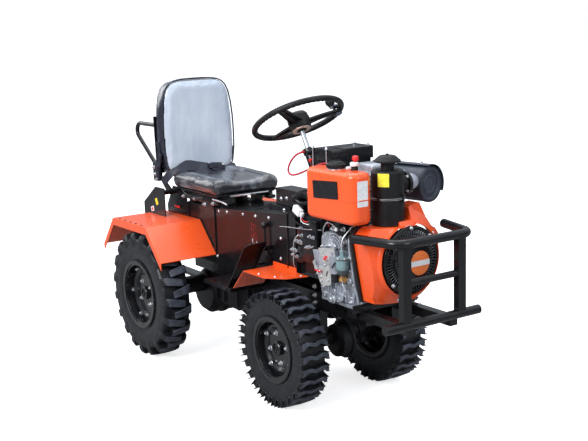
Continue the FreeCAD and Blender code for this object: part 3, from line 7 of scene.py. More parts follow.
import bmesh
import bpy
from mathutils import Matrix, Vector, noise
from mathutils.bvhtree import BVHTree
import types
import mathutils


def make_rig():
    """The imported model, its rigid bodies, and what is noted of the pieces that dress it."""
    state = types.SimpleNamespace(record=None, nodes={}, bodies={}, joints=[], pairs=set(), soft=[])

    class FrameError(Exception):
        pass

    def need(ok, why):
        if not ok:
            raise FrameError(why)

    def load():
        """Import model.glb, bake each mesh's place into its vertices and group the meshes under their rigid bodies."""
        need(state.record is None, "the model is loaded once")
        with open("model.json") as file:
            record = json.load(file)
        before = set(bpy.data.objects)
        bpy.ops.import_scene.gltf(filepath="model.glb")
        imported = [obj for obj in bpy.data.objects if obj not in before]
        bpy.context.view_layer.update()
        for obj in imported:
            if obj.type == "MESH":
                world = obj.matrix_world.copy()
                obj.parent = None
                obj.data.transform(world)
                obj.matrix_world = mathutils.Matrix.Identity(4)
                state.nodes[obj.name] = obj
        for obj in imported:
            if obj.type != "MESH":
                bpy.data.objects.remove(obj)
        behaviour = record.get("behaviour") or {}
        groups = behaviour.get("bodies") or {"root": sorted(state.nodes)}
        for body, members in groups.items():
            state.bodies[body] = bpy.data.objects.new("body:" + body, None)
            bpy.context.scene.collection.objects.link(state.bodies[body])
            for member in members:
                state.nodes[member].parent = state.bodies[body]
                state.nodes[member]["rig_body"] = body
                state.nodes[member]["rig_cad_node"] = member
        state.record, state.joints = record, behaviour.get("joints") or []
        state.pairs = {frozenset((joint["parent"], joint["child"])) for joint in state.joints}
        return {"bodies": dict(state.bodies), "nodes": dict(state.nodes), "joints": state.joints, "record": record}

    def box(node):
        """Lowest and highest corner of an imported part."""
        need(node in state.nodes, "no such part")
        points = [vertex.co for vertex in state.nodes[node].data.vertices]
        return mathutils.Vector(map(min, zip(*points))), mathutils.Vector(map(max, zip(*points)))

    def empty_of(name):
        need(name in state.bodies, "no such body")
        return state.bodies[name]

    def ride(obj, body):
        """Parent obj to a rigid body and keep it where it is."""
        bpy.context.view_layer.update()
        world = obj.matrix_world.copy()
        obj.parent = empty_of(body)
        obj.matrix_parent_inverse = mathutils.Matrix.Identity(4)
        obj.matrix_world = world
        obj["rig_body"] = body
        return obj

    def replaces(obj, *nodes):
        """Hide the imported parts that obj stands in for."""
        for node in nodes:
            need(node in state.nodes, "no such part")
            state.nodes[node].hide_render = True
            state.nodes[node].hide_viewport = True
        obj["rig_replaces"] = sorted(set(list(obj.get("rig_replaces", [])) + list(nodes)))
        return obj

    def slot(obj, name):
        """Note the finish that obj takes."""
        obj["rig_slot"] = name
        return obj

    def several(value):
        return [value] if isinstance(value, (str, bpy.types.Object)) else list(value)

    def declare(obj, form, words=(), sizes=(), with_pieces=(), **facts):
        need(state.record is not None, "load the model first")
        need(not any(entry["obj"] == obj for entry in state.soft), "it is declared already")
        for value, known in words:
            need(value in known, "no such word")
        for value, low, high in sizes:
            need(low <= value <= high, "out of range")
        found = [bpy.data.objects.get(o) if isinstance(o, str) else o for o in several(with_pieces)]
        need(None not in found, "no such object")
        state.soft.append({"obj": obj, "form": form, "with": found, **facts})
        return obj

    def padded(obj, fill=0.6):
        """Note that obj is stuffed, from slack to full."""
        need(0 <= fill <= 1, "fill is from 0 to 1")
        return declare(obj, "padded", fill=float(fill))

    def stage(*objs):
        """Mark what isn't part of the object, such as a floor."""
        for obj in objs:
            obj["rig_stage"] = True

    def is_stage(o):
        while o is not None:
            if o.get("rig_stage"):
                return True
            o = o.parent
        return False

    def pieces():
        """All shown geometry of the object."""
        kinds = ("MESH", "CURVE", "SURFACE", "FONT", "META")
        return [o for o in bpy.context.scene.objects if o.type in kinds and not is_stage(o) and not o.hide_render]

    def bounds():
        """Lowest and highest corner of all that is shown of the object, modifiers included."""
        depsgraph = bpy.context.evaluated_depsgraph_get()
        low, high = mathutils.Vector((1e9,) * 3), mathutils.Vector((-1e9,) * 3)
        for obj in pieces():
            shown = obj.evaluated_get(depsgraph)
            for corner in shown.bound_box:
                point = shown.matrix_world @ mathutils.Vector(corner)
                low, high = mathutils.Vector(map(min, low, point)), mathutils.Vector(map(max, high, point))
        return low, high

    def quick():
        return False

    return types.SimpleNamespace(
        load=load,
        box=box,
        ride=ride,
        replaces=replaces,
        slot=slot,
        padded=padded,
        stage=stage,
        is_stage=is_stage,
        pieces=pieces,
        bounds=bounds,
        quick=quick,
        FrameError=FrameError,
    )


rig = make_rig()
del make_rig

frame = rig.load()
cad_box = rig.bounds()

X, Y, Z = Vector((1, 0, 0)), Vector((0, 1, 0)), Vector((0, 0, 1))
moved = Matrix.Translation
FACING_FRONT = Matrix(((1, 0, 0, 0), (0, 0, -1, 0), (0, 1, 0, 0), (0, 0, 0, 1)))
FACING_RIGHT = Matrix(((0, 0, -1, 0), (-1, 0, 0, 0), (0, 1, 0, 0), (0, 0, 0, 1)))
JOINTS = {joint["name"]: joint for joint in frame["record"]["behaviour"]["joints"]}


def box(node):
    """Lowest and highest corner of a CAD node, as vectors."""
    low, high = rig.box(node)
    return Vector(low), Vector(high)


TREES = {}


def hit(node, start, direction):
    """Where a line from a point first meets a CAD node, and the way its surface faces there."""
    if node not in TREES:
        mesh = bmesh.new()
        mesh.from_mesh(frame["nodes"][node].data)
        TREES[node] = BVHTree.FromBMesh(mesh)
        mesh.free()
    point, normal, _, _ = TREES[node].ray_cast(Vector(start), Vector(direction).normalized())
    return point, normal


def middle(node):
    """Centre of a CAD node's box."""
    low, high = box(node)
    return (low + high) / 2


# Camera and stage

CAMERA_AT = Vector((-2.6485, -4.0471, 1.6677))
CAMERA_LOOK = Vector((0.54863, 0.81403, -0.19069))
CAMERA_ROLL = math.radians(-1.767)
SENSOR = 36.0
LENS = 63.39


def camera():
    """Camera at the photograph's angle."""
    data = bpy.data.cameras.new("camera")
    data.lens = LENS
    data.sensor_width = SENSOR
    look = CAMERA_LOOK.normalized()
    side = look.cross(Z).normalized()
    up = side.cross(look)
    right = side * math.cos(CAMERA_ROLL) + up * math.sin(CAMERA_ROLL)
    top = up * math.cos(CAMERA_ROLL) - side * math.sin(CAMERA_ROLL)
    turn = Matrix((right, top, -look)).transposed().to_4x4()
    obj = bpy.data.objects.new("camera", data)
    obj.matrix_world = moved(CAMERA_AT) @ turn
    bpy.context.scene.collection.objects.link(obj)
    bpy.context.scene.camera = obj


# Shader building

class Surface:
    """A material with a Principled shader and short ways to feed it."""

    def __init__(self, name, colour, rough, metal=0.0, coat=0.0, coat_rough=0.08):
        self.material = bpy.data.materials.new(name)
        self.material.use_nodes = True
        self.tree = self.material.node_tree
        self.shader = self.tree.nodes["Principled BSDF"]
        self.set("Base Color", (*colour, 1))
        self.set("Roughness", rough)
        self.set("Metallic", metal)
        self.set("Coat Weight", coat)
        self.set("Coat Roughness", coat_rough)
        if not metal and max(colour) < 0.05:
            self.set("Specular IOR Level", 0.28)
        self.place = self.add("ShaderNodeTexCoord").outputs["Object"]
        self.relief = None

    def set(self, socket, value):
        self.shader.inputs[socket].default_value = value

    def add(self, kind, **inputs):
        """New node; inputs are values or sockets, by input name with _ for a space."""
        node = self.tree.nodes.new(kind)
        for name, value in inputs.items():
            socket = node.inputs[name.replace("_", " ")]
            if isinstance(value, bpy.types.NodeSocket):
                self.tree.links.new(value, socket)
            else:
                socket.default_value = value
        return node

    def link(self, output, socket):
        self.tree.links.new(output, self.shader.inputs[socket])

    def noise(self, scale, detail=4.0, rough=0.55, stretch=None):
        """Noise from 0 to 1 over the object, at a scale per metre."""
        place = self.place
        if stretch:
            place = self.add("ShaderNodeMapping", Vector=place, Scale=stretch).outputs[0]
        node = self.add("ShaderNodeTexNoise", Vector=place, Scale=scale, Detail=detail, Roughness=rough)
        return node.outputs["Fac"]

    def cells(self, scale, feature="F1", stretch=None):
        """Voronoi distance over the object, at a scale per metre."""
        place = self.place
        if stretch:
            place = self.add("ShaderNodeMapping", Vector=place, Scale=stretch).outputs[0]
        node = self.add("ShaderNodeTexVoronoi", Vector=place, Scale=scale)
        node.feature = feature
        return node.outputs["Distance"]

    def between(self, fac, low, high, to_low=0.0, to_high=1.0):
        """The factor spread from one range to another, and held there."""
        node = self.add("ShaderNodeMapRange", Value=fac, From_Min=low, From_Max=high, To_Min=to_low, To_Max=to_high)
        return node.outputs["Result"]

    def times(self, a, b, how="MULTIPLY"):
        node = self.tree.nodes.new("ShaderNodeMath")
        node.operation = how
        for socket, value in zip(node.inputs, (a, b)):
            if isinstance(value, bpy.types.NodeSocket):
                self.tree.links.new(value, socket)
            else:
                socket.default_value = value
        return node.outputs[0]

    def tint(self, fac, colour, other):
        """Colour that goes from one to the other with the factor."""
        node = self.tree.nodes.new("ShaderNodeMix")
        node.data_type = "RGBA"
        self.tree.links.new(fac, node.inputs[0])
        for socket, value in ((node.inputs[6], colour), (node.inputs[7], other)):
            if isinstance(value, bpy.types.NodeSocket):
                self.tree.links.new(value, socket)
            else:
                socket.default_value = (*value, 1)
        return node.outputs[2]

    def bump(self, height, distance, strength=1.0):
        """Add relief of that depth in metres."""
        node = self.add("ShaderNodeBump", Height=height, Distance=distance, Strength=strength)
        if self.relief:
            self.tree.links.new(self.relief, node.inputs["Normal"])
        self.relief = node.outputs[0]
        self.link(self.relief, "Normal")

    def edges(self, radius=0.002):
        """About 1 on sharp edges and 0 on flat faces."""
        soft = self.add("ShaderNodeBevel", Radius=radius)
        soft.samples = 4
        hard = self.add("ShaderNodeNewGeometry").outputs["Normal"]
        dot = self.tree.nodes.new("ShaderNodeVectorMath")
        dot.operation = "DOT_PRODUCT"
        self.tree.links.new(soft.outputs[0], dot.inputs[0])
        self.tree.links.new(hard, dot.inputs[1])
        return self.between(dot.outputs["Value"], 0.995, 0.86)

    def round_edges(self, radius):
        """Shade sharp edges as if they were slightly rounded."""
        node = self.add("ShaderNodeBevel", Radius=radius)
        node.samples = 4
        if self.relief:
            self.tree.links.new(self.relief, node.inputs["Normal"])
        self.relief = node.outputs[0]
        self.link(self.relief, "Normal")


# Materials, one for each slot of the record

def painted(name, colour, rough, coat, dust, wear=0.0, peel=0.00005):
    """Sprayed paint: orange peel, a dusty film, finely rubbed patches and bare primer on some edges."""
    s = Surface(name, colour, rough, coat=coat)
    film = s.between(s.noise(7, 6), 0.45, 0.8, 0, dust)
    shade = s.tint(film, colour, (0.42, 0.40, 0.38))
    if wear:
        chips = s.times(s.edges(0.0025), s.between(s.noise(60, 5), 0.5, 0.62))
        shade = s.tint(s.times(chips, wear), shade, (0.16, 0.15, 0.15))
    s.link(shade, "Base Color")
    s.link(s.between(s.noise(24, 5), 0.3, 0.75, rough * 0.75, rough * 1.5), "Roughness")
    s.round_edges(0.001)
    s.bump(s.noise(330, 2), peel)
    return s.material


def moulded(name, colour, rough, grain=0.00012):
    """Moulded plastic with a fine spark-eroded grain and a faint haze."""
    s = Surface(name, colour, rough)
    haze = s.between(s.noise(11, 5), 0.4, 0.8, 0, 0.015)
    s.link(s.tint(haze, colour, (0.5, 0.5, 0.5)), "Base Color")
    s.link(s.between(s.noise(40, 4), 0.3, 0.7, rough * 0.8, rough * 1.3), "Roughness")
    s.round_edges(0.0012)
    s.bump(s.cells(900), grain, 0.5)
    return s.material


def cast(name, colour, metal, rough, depth):
    """Sand-cast metal: pitted skin, darker stains at random and rubbed edges."""
    s = Surface(name, colour, rough, metal=metal)
    dark = tuple(0.45 * value for value in colour)
    light = tuple(min(1, 1.35 * value + 0.02) for value in colour)
    stain = s.between(s.noise(16, 7), 0.35, 0.7)
    shade = s.tint(stain, colour, dark)
    s.link(s.tint(s.times(s.edges(0.002), 0.6), shade, light), "Base Color")
    s.link(s.between(s.noise(90, 4), 0.3, 0.7, rough * 0.8, rough * 1.25), "Roughness")
    s.round_edges(0.002)
    s.bump(s.noise(420, 5, 0.7), depth)
    s.bump(s.cells(700), depth * 0.6, 0.6)
    return s.material


def bright_steel():
    """Zinc-plated or turned steel with fine turning marks."""
    s = Surface("bright_steel", (0.62, 0.62, 0.61), 0.28, metal=1.0)
    s.link(s.tint(s.between(s.noise(30, 5), 0.45, 0.7), (0.66, 0.66, 0.65), (0.4, 0.39, 0.37)), "Base Color")
    s.link(s.between(s.noise(240, 3, stretch=(1, 1, 9)), 0.3, 0.7, 0.2, 0.42), "Roughness")
    s.round_edges(0.0008)
    s.bump(s.noise(900, 2), 0.00003)
    return s.material


def tyre_rubber(name="tyre_rubber", wheel=None, radius=0.3, bead=0.15):
    """Matt rubber: lug tops tinted pale blue-grey in patches as a painted highlight, scuffed skin, and moulded rings
    and ribs on the sidewall round the wheel's axle.
    """
    s = Surface(name, (0.018, 0.019, 0.022), 0.62)
    scuff = s.between(s.noise(22, 8, 0.65), 0.42, 0.72)
    shade = s.tint(scuff, (0.006, 0.0065, 0.008), (0.014, 0.016, 0.021))
    s.round_edges(0.0014)
    if wheel:
        split = s.add("ShaderNodeSeparateXYZ", Vector=s.place)
        dy = s.times(split.outputs["Y"], wheel[1], "SUBTRACT")
        dz = s.times(split.outputs["Z"], wheel[2], "SUBTRACT")
        out = s.times(s.times(s.times(dy, dy), s.times(dz, dz), "ADD"), 0.5, "POWER")
        turn = s.times(dz, dy, "ARCTAN2")
        # painted highlight: the outer few millimetres of the lugs, where their tops catch the light, are tinted pale
        # blue-grey in patches
        dust = s.between(out, radius - 0.008, radius - 0.004, 0, 1.0)
        shade = s.tint(s.times(dust, s.between(s.noise(34, 6), 0.3, 0.65, 0.25, 1)), shade, (0.066, 0.074, 0.100))
        wall = s.times(s.between(out, bead + 0.020, bead + 0.022), s.between(out, radius - 0.052, radius - 0.050, 1, 0))
        rings = s.times(s.times(out, 2 * math.pi / 0.0125), 0.0, "SINE")
        ribs = s.times(s.times(turn, 110.0), 0.0, "SINE")
        band = s.times(s.between(out, bead + 0.036, bead + 0.037), s.between(out, bead + 0.062, bead + 0.063, 1, 0))
        s.bump(s.times(s.times(rings, wall), 0.5), 0.0007, 0.5)
        s.bump(s.times(s.times(ribs, band), 0.5), 0.0008, 0.6)
    s.link(shade, "Base Color")
    s.set("Specular IOR Level", 0.42)
    s.link(s.between(s.noise(45, 5), 0.3, 0.7, 0.34, 0.52), "Roughness")
    s.bump(s.noise(650, 4), 0.0002)
    return s.material


def seat_vinyl():
    """Black vinyl under clear packing film: fine leather grain with soft creases over it, their ridges tinted pale
    blue-grey as painted highlights of the film.
    """
    s = Surface("seat_vinyl", (0.024, 0.025, 0.032), 0.3, coat=1.0, coat_rough=0.18)
    creases = s.noise(11, 3, 0.55, stretch=(1.0, 0.5, 1.0))
    # painted highlight: where the creases rise, the colour is tinted pale blue-grey for the film's shine
    film = s.between(creases, 0.54, 0.66)
    s.link(s.tint(s.times(film, 0.26), (0.024, 0.025, 0.032), (0.50, 0.54, 0.64)), "Base Color")
    s.link(s.between(s.noise(24, 4), 0.3, 0.7, 0.2, 0.4), "Roughness")
    s.bump(s.cells(420), 0.0003, 0.4)
    s.bump(s.noise(30, 3, 0.5), 0.0022, 0.5)
    s.bump(creases, 0.005, 0.5)
    return s.material


def seat_cloth():
    """Backrest under a milky plastic cover: pale blue-grey, with soft upright creases whose ridges are tinted paler as
    a painted sheen.
    """
    s = Surface("seat_cloth", (0.53, 0.60, 0.71), 0.34, coat=0.4, coat_rough=0.25)
    drape = s.noise(7, 4, 0.55, stretch=(2.0, 1.0, 0.4))
    cloudy = s.between(s.noise(5, 6, 0.55), 0.3, 0.75)
    shade = s.tint(cloudy, (0.44, 0.505, 0.61), (0.59, 0.66, 0.755))
    # painted sheen: the ridges of the upright creases are tinted paler blue-white
    s.link(s.tint(s.times(s.between(drape, 0.52, 0.74), 0.4), shade, (0.72, 0.78, 0.87)), "Base Color")
    s.link(s.between(s.noise(17, 4), 0.3, 0.7, 0.28, 0.46), "Roughness")
    s.bump(s.noise(60, 4, 0.6, stretch=(1.6, 1, 0.6)), 0.0012, 0.4)
    s.bump(drape, 0.006, 0.5)
    return s.material


def plated(name, colour, rough, metal):
    """Small plated or painted fitting with faint mottling."""
    s = Surface(name, colour, rough, metal=metal)
    pale = tuple(min(1, 1.25 * value + 0.01) for value in colour)
    s.link(s.tint(s.between(s.noise(120, 4), 0.35, 0.7), colour, pale), "Base Color")
    s.round_edges(0.0006)
    s.bump(s.noise(1400, 2), 0.00004)
    return s.material


# Each name: its family, then what the family takes after the name.
FINISHES = {
    "orange_paint": (painted, (0.93, 0.098, 0.014), 0.3, 0.4, 0.012, 0.06),
    "black_steel": (painted, (0.005, 0.005, 0.0065), 0.3, 0.26, 0.006, 0.15, 0.00005),
    "wheel_black": (painted, (0.006, 0.006, 0.008), 0.26, 0.5, 0.012, 0.15),
    "heat_black": (painted, (0.036, 0.044, 0.063), 0.5, 0.0, 0.04, 0.2, 0.00012),
    "gloss_black": (painted, (0.006, 0.006, 0.007), 0.22, 0.3, 0.01),
    "black_plastic": (moulded, (0.007, 0.007, 0.008), 0.42),
    "cast_alloy": (cast, (0.50, 0.53, 0.60), 0.55, 0.36, 0.0004),
    "dark_casting": (cast, (0.010, 0.010, 0.012), 0.0, 0.42, 0.0006),
    "red_cable": (moulded, (0.55, 0.012, 0.03), 0.35),
    "zinc": (plated, (0.60, 0.61, 0.64), 0.32, 0.9),
    "chalk": (plated, (0.72, 0.73, 0.75), 0.45, 0.0),
    "dull_black": (plated, (0.006, 0.006, 0.007), 0.5, 0.0),
    "gloss_trim": (plated, (0.006, 0.006, 0.008), 0.22, 0.0),
    "brass": (plated, (0.75, 0.42, 0.15), 0.32, 1.0),
    "pump_blue": (plated, (0.22, 0.34, 0.36), 0.38, 0.4),
    "signal_red": (plated, (0.62, 0.012, 0.012), 0.35, 0.0),
    # pale grey of the ring on the front tyres' shoulders, a painted highlight
    "worn_rubber": (plated, (0.13, 0.14, 0.16), 0.5, 0.0),
    "lemon": (plated, (0.78, 0.72, 0.05), 0.45, 0.0),
    "badge_orange": (plated, (0.78, 0.17, 0.03), 0.4, 0.0),
    "pale_steel": (plated, (0.50, 0.52, 0.55), 0.42, 0.85),
    # grey of the fan louvres, lighter than the black cover: a painted highlight on their ribs
    "pale_louvre": (plated, (0.10, 0.105, 0.12), 0.35, 0.3),
    "pale_plate": (plated, (0.44, 0.43, 0.42), 0.5, 0.3),
    "dark_glass": (plated, (0.04, 0.05, 0.055), 0.12, 0.0),
    "copper_ring": (plated, (0.62, 0.42, 0.34), 0.35, 0.5),
    "label_yellow": (plated, (0.85, 0.70, 0.03), 0.4, 0.0),
    "label_green": (plated, (0.10, 0.50, 0.03), 0.4, 0.0),
    "shaft_steel": (plated, (0.55, 0.58, 0.60), 0.3, 0.75),
    "clamp_grey": (plated, (0.10, 0.12, 0.16), 0.4, 0.2),
    "belt_case": (moulded, (0.016, 0.018, 0.030), 0.35),
}
MATERIALS = {}


def material(slot):
    """Material of a slot or small part, made once; a ready material is passed on."""
    if not isinstance(slot, str):
        return slot
    if slot not in MATERIALS:
        if slot in FINISHES:
            family, *values = FINISHES[slot]
            MATERIALS[slot] = family(slot, *values)
        else:
            MATERIALS[slot] = globals()[slot]()
    return MATERIALS[slot]


def dress_nodes():
    """Give each CAD node its own slot's material."""
    for part in frame["record"]["subparts"]:
        obj = frame["nodes"][part["node"]]
        node = part["node"]
        if "_tyre_" in node:
            joint = JOINTS[f"{node.replace('tyre', 'wheel')}_spin"]
            low, high = box(node)
            radius = (high.z - low.z) / 2
            bead = (box(node.replace("tyre", "rim"))[1].z - joint["pos_m"][2]) - 0.014
            finish = tyre_rubber(f"{node}_rubber", joint["pos_m"], radius, bead)
        else:
            finish = material(part["material_slot"])
        obj.data.materials.clear()
        obj.data.materials.append(finish)


# Mesh building

def aim(point, direction, roll=0.0):
    """Matrix that puts +Z of a drawn piece along a direction at a point."""
    turn = Vector(direction).to_track_quat("Z", "Y").to_matrix().to_4x4()
    return moved(point) @ turn @ Matrix.Rotation(roll, 4, "Z")


def spin(mesh, profile, place, sides=24, start=0.0):
    """Add a (radius, height) profile turned about +Z of the place."""
    rings = []
    for radius, height in profile:
        count = sides if radius > 0 else 1
        rings.append([mesh.verts.new(place @ Vector((radius * math.cos(start + 2 * math.pi * i / sides),
                                                     radius * math.sin(start + 2 * math.pi * i / sides), height)))
                      for i in range(count)])
    for low, high in zip(rings, rings[1:]):
        for i in range(sides):
            j = (i + 1) % sides
            corners = [low[i % len(low)], low[j % len(low)], high[j % len(high)], high[i % len(high)]]
            face = list(dict.fromkeys(corners))
            if len(face) > 2:
                mesh.faces.new(face)


def skin(mesh, rows):
    """Add a closed skin through rings of vertices, capped at both ends."""
    count = len(rows[0])
    for low, high in zip(rows, rows[1:]):
        for i in range(count):
            j = (i + 1) % count
            mesh.faces.new((low[i], low[j], high[j], high[i]))
    mesh.faces.new(rows[0][::-1])
    mesh.faces.new(rows[-1])


def block(mesh, size, place, bevel=0.001, segments=2):
    """Add a box with rounded edges, centred on the place."""
    made = bmesh.ops.create_cube(mesh, size=1.0, matrix=place @ Matrix.Diagonal((*size, 1)))
    if bevel:
        edges = list({edge for vert in made["verts"] for edge in vert.link_edges})
        bmesh.ops.bevel(mesh, geom=edges, offset=bevel, segments=segments, affect="EDGES", profile=0.5)


def plate(mesh, width, height, thick, corner, place, steps=5):
    """Add a flat plate with rounded corners in the XY plane of the place."""
    ring = []
    for i, (sx, sy) in enumerate(((1, 1), (-1, 1), (-1, -1), (1, -1))):
        for k in range(steps + 1):
            angle = math.pi / 2 * (i + k / steps)
            ring.append((sx * (width / 2 - corner) + corner * math.cos(angle),
                         sy * (height / 2 - corner) + corner * math.sin(angle)))
    low = [mesh.verts.new(place @ Vector((x, y, 0))) for x, y in ring]
    high = [mesh.verts.new(place @ Vector((x, y, thick))) for x, y in ring]
    mesh.faces.new(low[::-1])
    mesh.faces.new(high)
    for i in range(len(ring)):
        j = (i + 1) % len(ring)
        mesh.faces.new((low[i], low[j], high[j], high[i]))


def piece(name, mesh, finish, body="chassis", smooth=True, slot=None):
    """Turn a bmesh into a piece that rides on a body."""
    bmesh.ops.recalc_face_normals(mesh, faces=mesh.faces)
    data = bpy.data.meshes.new(name)
    mesh.to_mesh(data)
    mesh.free()
    data.materials.append(material(finish))
    obj = bpy.data.objects.new(name, data)
    bpy.context.scene.collection.objects.link(obj)
    if smooth:
        data.shade_smooth()
        for edge in data.edges:
            edge.use_edge_sharp = False
        data.set_sharp_from_angle(angle=math.radians(35))
    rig.ride(obj, body)
    if slot:
        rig.slot(obj, slot)
    return obj


def drawn(name, finish, draw, *values, body="chassis", smooth=True, slot=None):
    """Piece made by one drawing call."""
    mesh = bmesh.new()
    draw(mesh, *values)
    return piece(name, mesh, finish, body, smooth, slot)


def cable(name, points, radius, finish, body="chassis", order=4):
    """Round flexible line along a smooth curve near the points."""
    data = bpy.data.curves.new(name, "CURVE")
    data.dimensions = "3D"
    data.bevel_depth = radius
    data.bevel_resolution = 3
    data.use_fill_caps = True
    spline = data.splines.new("NURBS")
    spline.points.add(len(points) - 1)
    for point, place in zip(spline.points, points):
        point.co = (*place, 1)
    spline.order_u = order
    spline.use_endpoint_u = True
    spline.resolution_u = 8
    data.materials.append(material(finish))
    obj = bpy.data.objects.new(name, data)
    bpy.context.scene.collection.objects.link(obj)
    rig.ride(obj, body)
    return obj


def hex_head(mesh, point, direction, across=0.013, height=0.006, washer=True):
    """Hexagon head with a chamfered top, on a washer."""
    place = aim(point, direction, random.uniform(0, math.pi / 3))
    lift = 0.0
    if washer:
        lift = 0.0015
        spin(mesh, [(across * 0.78, 0), (across * 0.8, 0.0003), (across * 0.8, 0.0012), (across * 0.76, lift),
                    (0, lift)],
             place, 20)
    r = across / math.sqrt(3)
    spin(mesh, [(r, lift), (r, lift + height * 0.8), (r * 0.86, lift + height), (0, lift + height)], place, 6)
    spin(mesh, [(r * 0.42, lift + height * 0.9), (r * 0.42, lift + height * 1.5), (r * 0.3, lift + height * 1.6),
                (0, lift + height * 1.6)], place, 12)


def dome_head(mesh, point, direction, radius=0.006):
    """Button head on a flange washer."""
    place = aim(point, direction)
    spin(mesh, [(radius * 1.3, 0), (radius * 1.3, 0.0008), (radius * 1.24, 0.0013), (radius, 0.0014),
                (radius * 0.93, radius * 0.45), (radius * 0.6, radius * 0.75), (radius * 0.3, radius * 0.82),
                (radius * 0.26, radius * 0.5), (0, radius * 0.5)], place, 18)


def bolts(name, places, finish, body="chassis", head=hex_head, **sizes):
    """One piece with a bolt head at each (point, direction)."""
    mesh = bmesh.new()
    for point, direction in places:
        head(mesh, Vector(point), Vector(direction), **sizes)
    return piece(name, mesh, finish, body)


# Stage, light and backdrop

FLOOR_LIFT = 0.72
WORLD_LOW = 0.16
WORLD_HIGH = 1.1


def floor():
    """White floor that shows as white and keeps the object's shadow."""
    mesh = bmesh.new()
    bmesh.ops.create_grid(mesh, x_segments=1, y_segments=1, size=30)
    data = bpy.data.meshes.new("floor")
    mesh.to_mesh(data)
    mesh.free()
    finish = bpy.data.materials.new("floor")
    finish.use_nodes = True
    tree = finish.node_tree
    shader = tree.nodes["Principled BSDF"]
    shader.inputs["Base Color"].default_value = (0.8, 0.8, 0.8, 1)
    shader.inputs["Roughness"].default_value = 0.9
    shader.inputs["Specular IOR Level"].default_value = 0.0
    shader.inputs["Emission Color"].default_value = (1, 1, 1, 1)
    path = tree.nodes.new("ShaderNodeLightPath")
    shade = tree.nodes.new("ShaderNodeMapRange")
    shade.inputs["To Min"].default_value = 0.3
    shade.inputs["To Max"].default_value = 0.8
    tree.links.new(path.outputs["Is Camera Ray"], shade.inputs["Value"])
    tree.links.new(shade.outputs[0], shader.inputs["Base Color"])
    lift = tree.nodes.new("ShaderNodeMath")
    lift.operation = "MULTIPLY"
    lift.inputs[1].default_value = FLOOR_LIFT
    tree.links.new(path.outputs["Is Camera Ray"], lift.inputs[0])
    tree.links.new(lift.outputs[0], shader.inputs["Emission Strength"])
    data.materials.append(finish)
    obj = bpy.data.objects.new("floor", data)
    bpy.context.scene.collection.objects.link(obj)
    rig.stage(obj)


def backdrop():
    """World that looks white and lights the object softly."""
    world = bpy.data.worlds.new("studio")
    bpy.context.scene.world = world
    world.use_nodes = True
    tree = world.node_tree
    shade = tree.nodes["Background"]
    path = tree.nodes.new("ShaderNodeLightPath")
    seen = path.outputs["Is Camera Ray"]
    spread = tree.nodes.new("ShaderNodeMapRange")
    way = tree.nodes.new("ShaderNodeTexCoord")
    split = tree.nodes.new("ShaderNodeSeparateXYZ")
    tree.links.new(way.outputs["Generated"], split.inputs[0])
    rise = tree.nodes.new("ShaderNodeMapRange")
    rise.interpolation_type = "SMOOTHSTEP"
    rise.inputs["From Min"].default_value = -0.1
    rise.inputs["From Max"].default_value = 0.85
    rise.inputs["To Min"].default_value = WORLD_LOW
    rise.inputs["To Max"].default_value = WORLD_HIGH
    tree.links.new(split.outputs["Z"], rise.inputs["Value"])
    tree.links.new(rise.outputs[0], spread.inputs["To Min"])
    spread.inputs["To Max"].default_value = 1.0
    tree.links.new(seen, spread.inputs["Value"])
    tree.links.new(spread.outputs[0], shade.inputs["Strength"])
    cool = tree.nodes.new("ShaderNodeMix")
    cool.data_type = "RGBA"
    cool.inputs[6].default_value = (0.84, 0.91, 1.0, 1)
    cool.inputs[7].default_value = (1, 1, 1, 1)
    tree.links.new(seen, cool.inputs[0])
    tree.links.new(cool.outputs[2], shade.inputs["Color"])


def lamp(name, place, power, size, target=(0, -0.2, 0.6)):
    """Square soft lamp aimed at the object."""
    data = bpy.data.lights.new(name, "AREA")
    data.energy = power
    data.size = size
    obj = bpy.data.objects.new(name, data)
    way = Vector(target) - Vector(place)
    obj.matrix_world = moved(place) @ way.to_track_quat("-Z", "Y").to_matrix().to_4x4()
    bpy.context.scene.collection.objects.link(obj)


def studio():
    """Floor, world and lamps."""
    floor()
    backdrop()
    lamp("key", (-4.9, -1.6, 3.6), 286, 2.6)
    lamp("fill", (1.2, -5.8, 3.0), 80, 2.6)
    lamp("top", (0.5, 1.0, 5.0), 120, 4.0)
    lamp("back", (-1.5, 5.0, 3.0), 70, 3.0)
    bpy.context.scene.view_settings.view_transform = "Standard"


# Tyres

class Tyre:
    """Half section of a tyre round its axle, as half-width and radius, from the crown to the bead."""

    def __init__(self, node, lug, square):
        low, high = box(node)
        rim_low, rim_high = box(node.replace("tyre", "rim"))
        self.centre = (low + high) / 2
        self.radius = (high.z - low.z) / 2
        self.half = (high.x - low.x) / 2
        self.foot = self.radius - lug
        bead = (rim_high.z - rim_low.z) / 2 - 0.006
        foot = self.foot
        tall = foot - bead
        half = self.half
        self.line = [Vector((half * x, r)) for x, r in (
            (0.0, foot), (0.55, foot - 0.001), (square, foot - 0.003), (0.965, foot - 0.010),
            (0.985, foot - tall * 0.18),
            (1.0, foot - tall * 0.42), (0.985, bead + tall * 0.40), (0.94, bead + tall * 0.26),
            (0.90, bead + tall * 0.18),
            (0.885, bead + tall * 0.16), (0.885, bead + tall * 0.12), (0.86, bead + tall * 0.05), (0.80, bead - 0.0055),
            (0.66, bead - 0.0055), (0.60, bead + tall * 0.2), (0.70, bead + tall * 0.5), (0.60, foot - 0.018),
            (0.0, foot - 0.014))]

    def put(self, x, r, angle):
        """Point in space for a place in the section and an angle round the axle, 0 at the top."""
        return self.centre + Vector((x, r * math.sin(angle), r * math.cos(angle)))


def casing(mesh, tyre, sides=144):
    """Carcass turned round the axle, with smooth walls."""
    outline = tyre.line + [Vector((-p.x, p.y)) for p in tyre.line[-2:0:-1]]
    rings = [[mesh.verts.new(tyre.put(p.x, p.y, 2 * math.pi * i / sides)) for i in range(sides)] for p in outline]
    for a, b in zip(rings, rings[1:] + rings[:1]):
        for i in range(sides):
            j = (i + 1) % sides
            mesh.faces.new((a[i], a[j], b[j], b[i]))


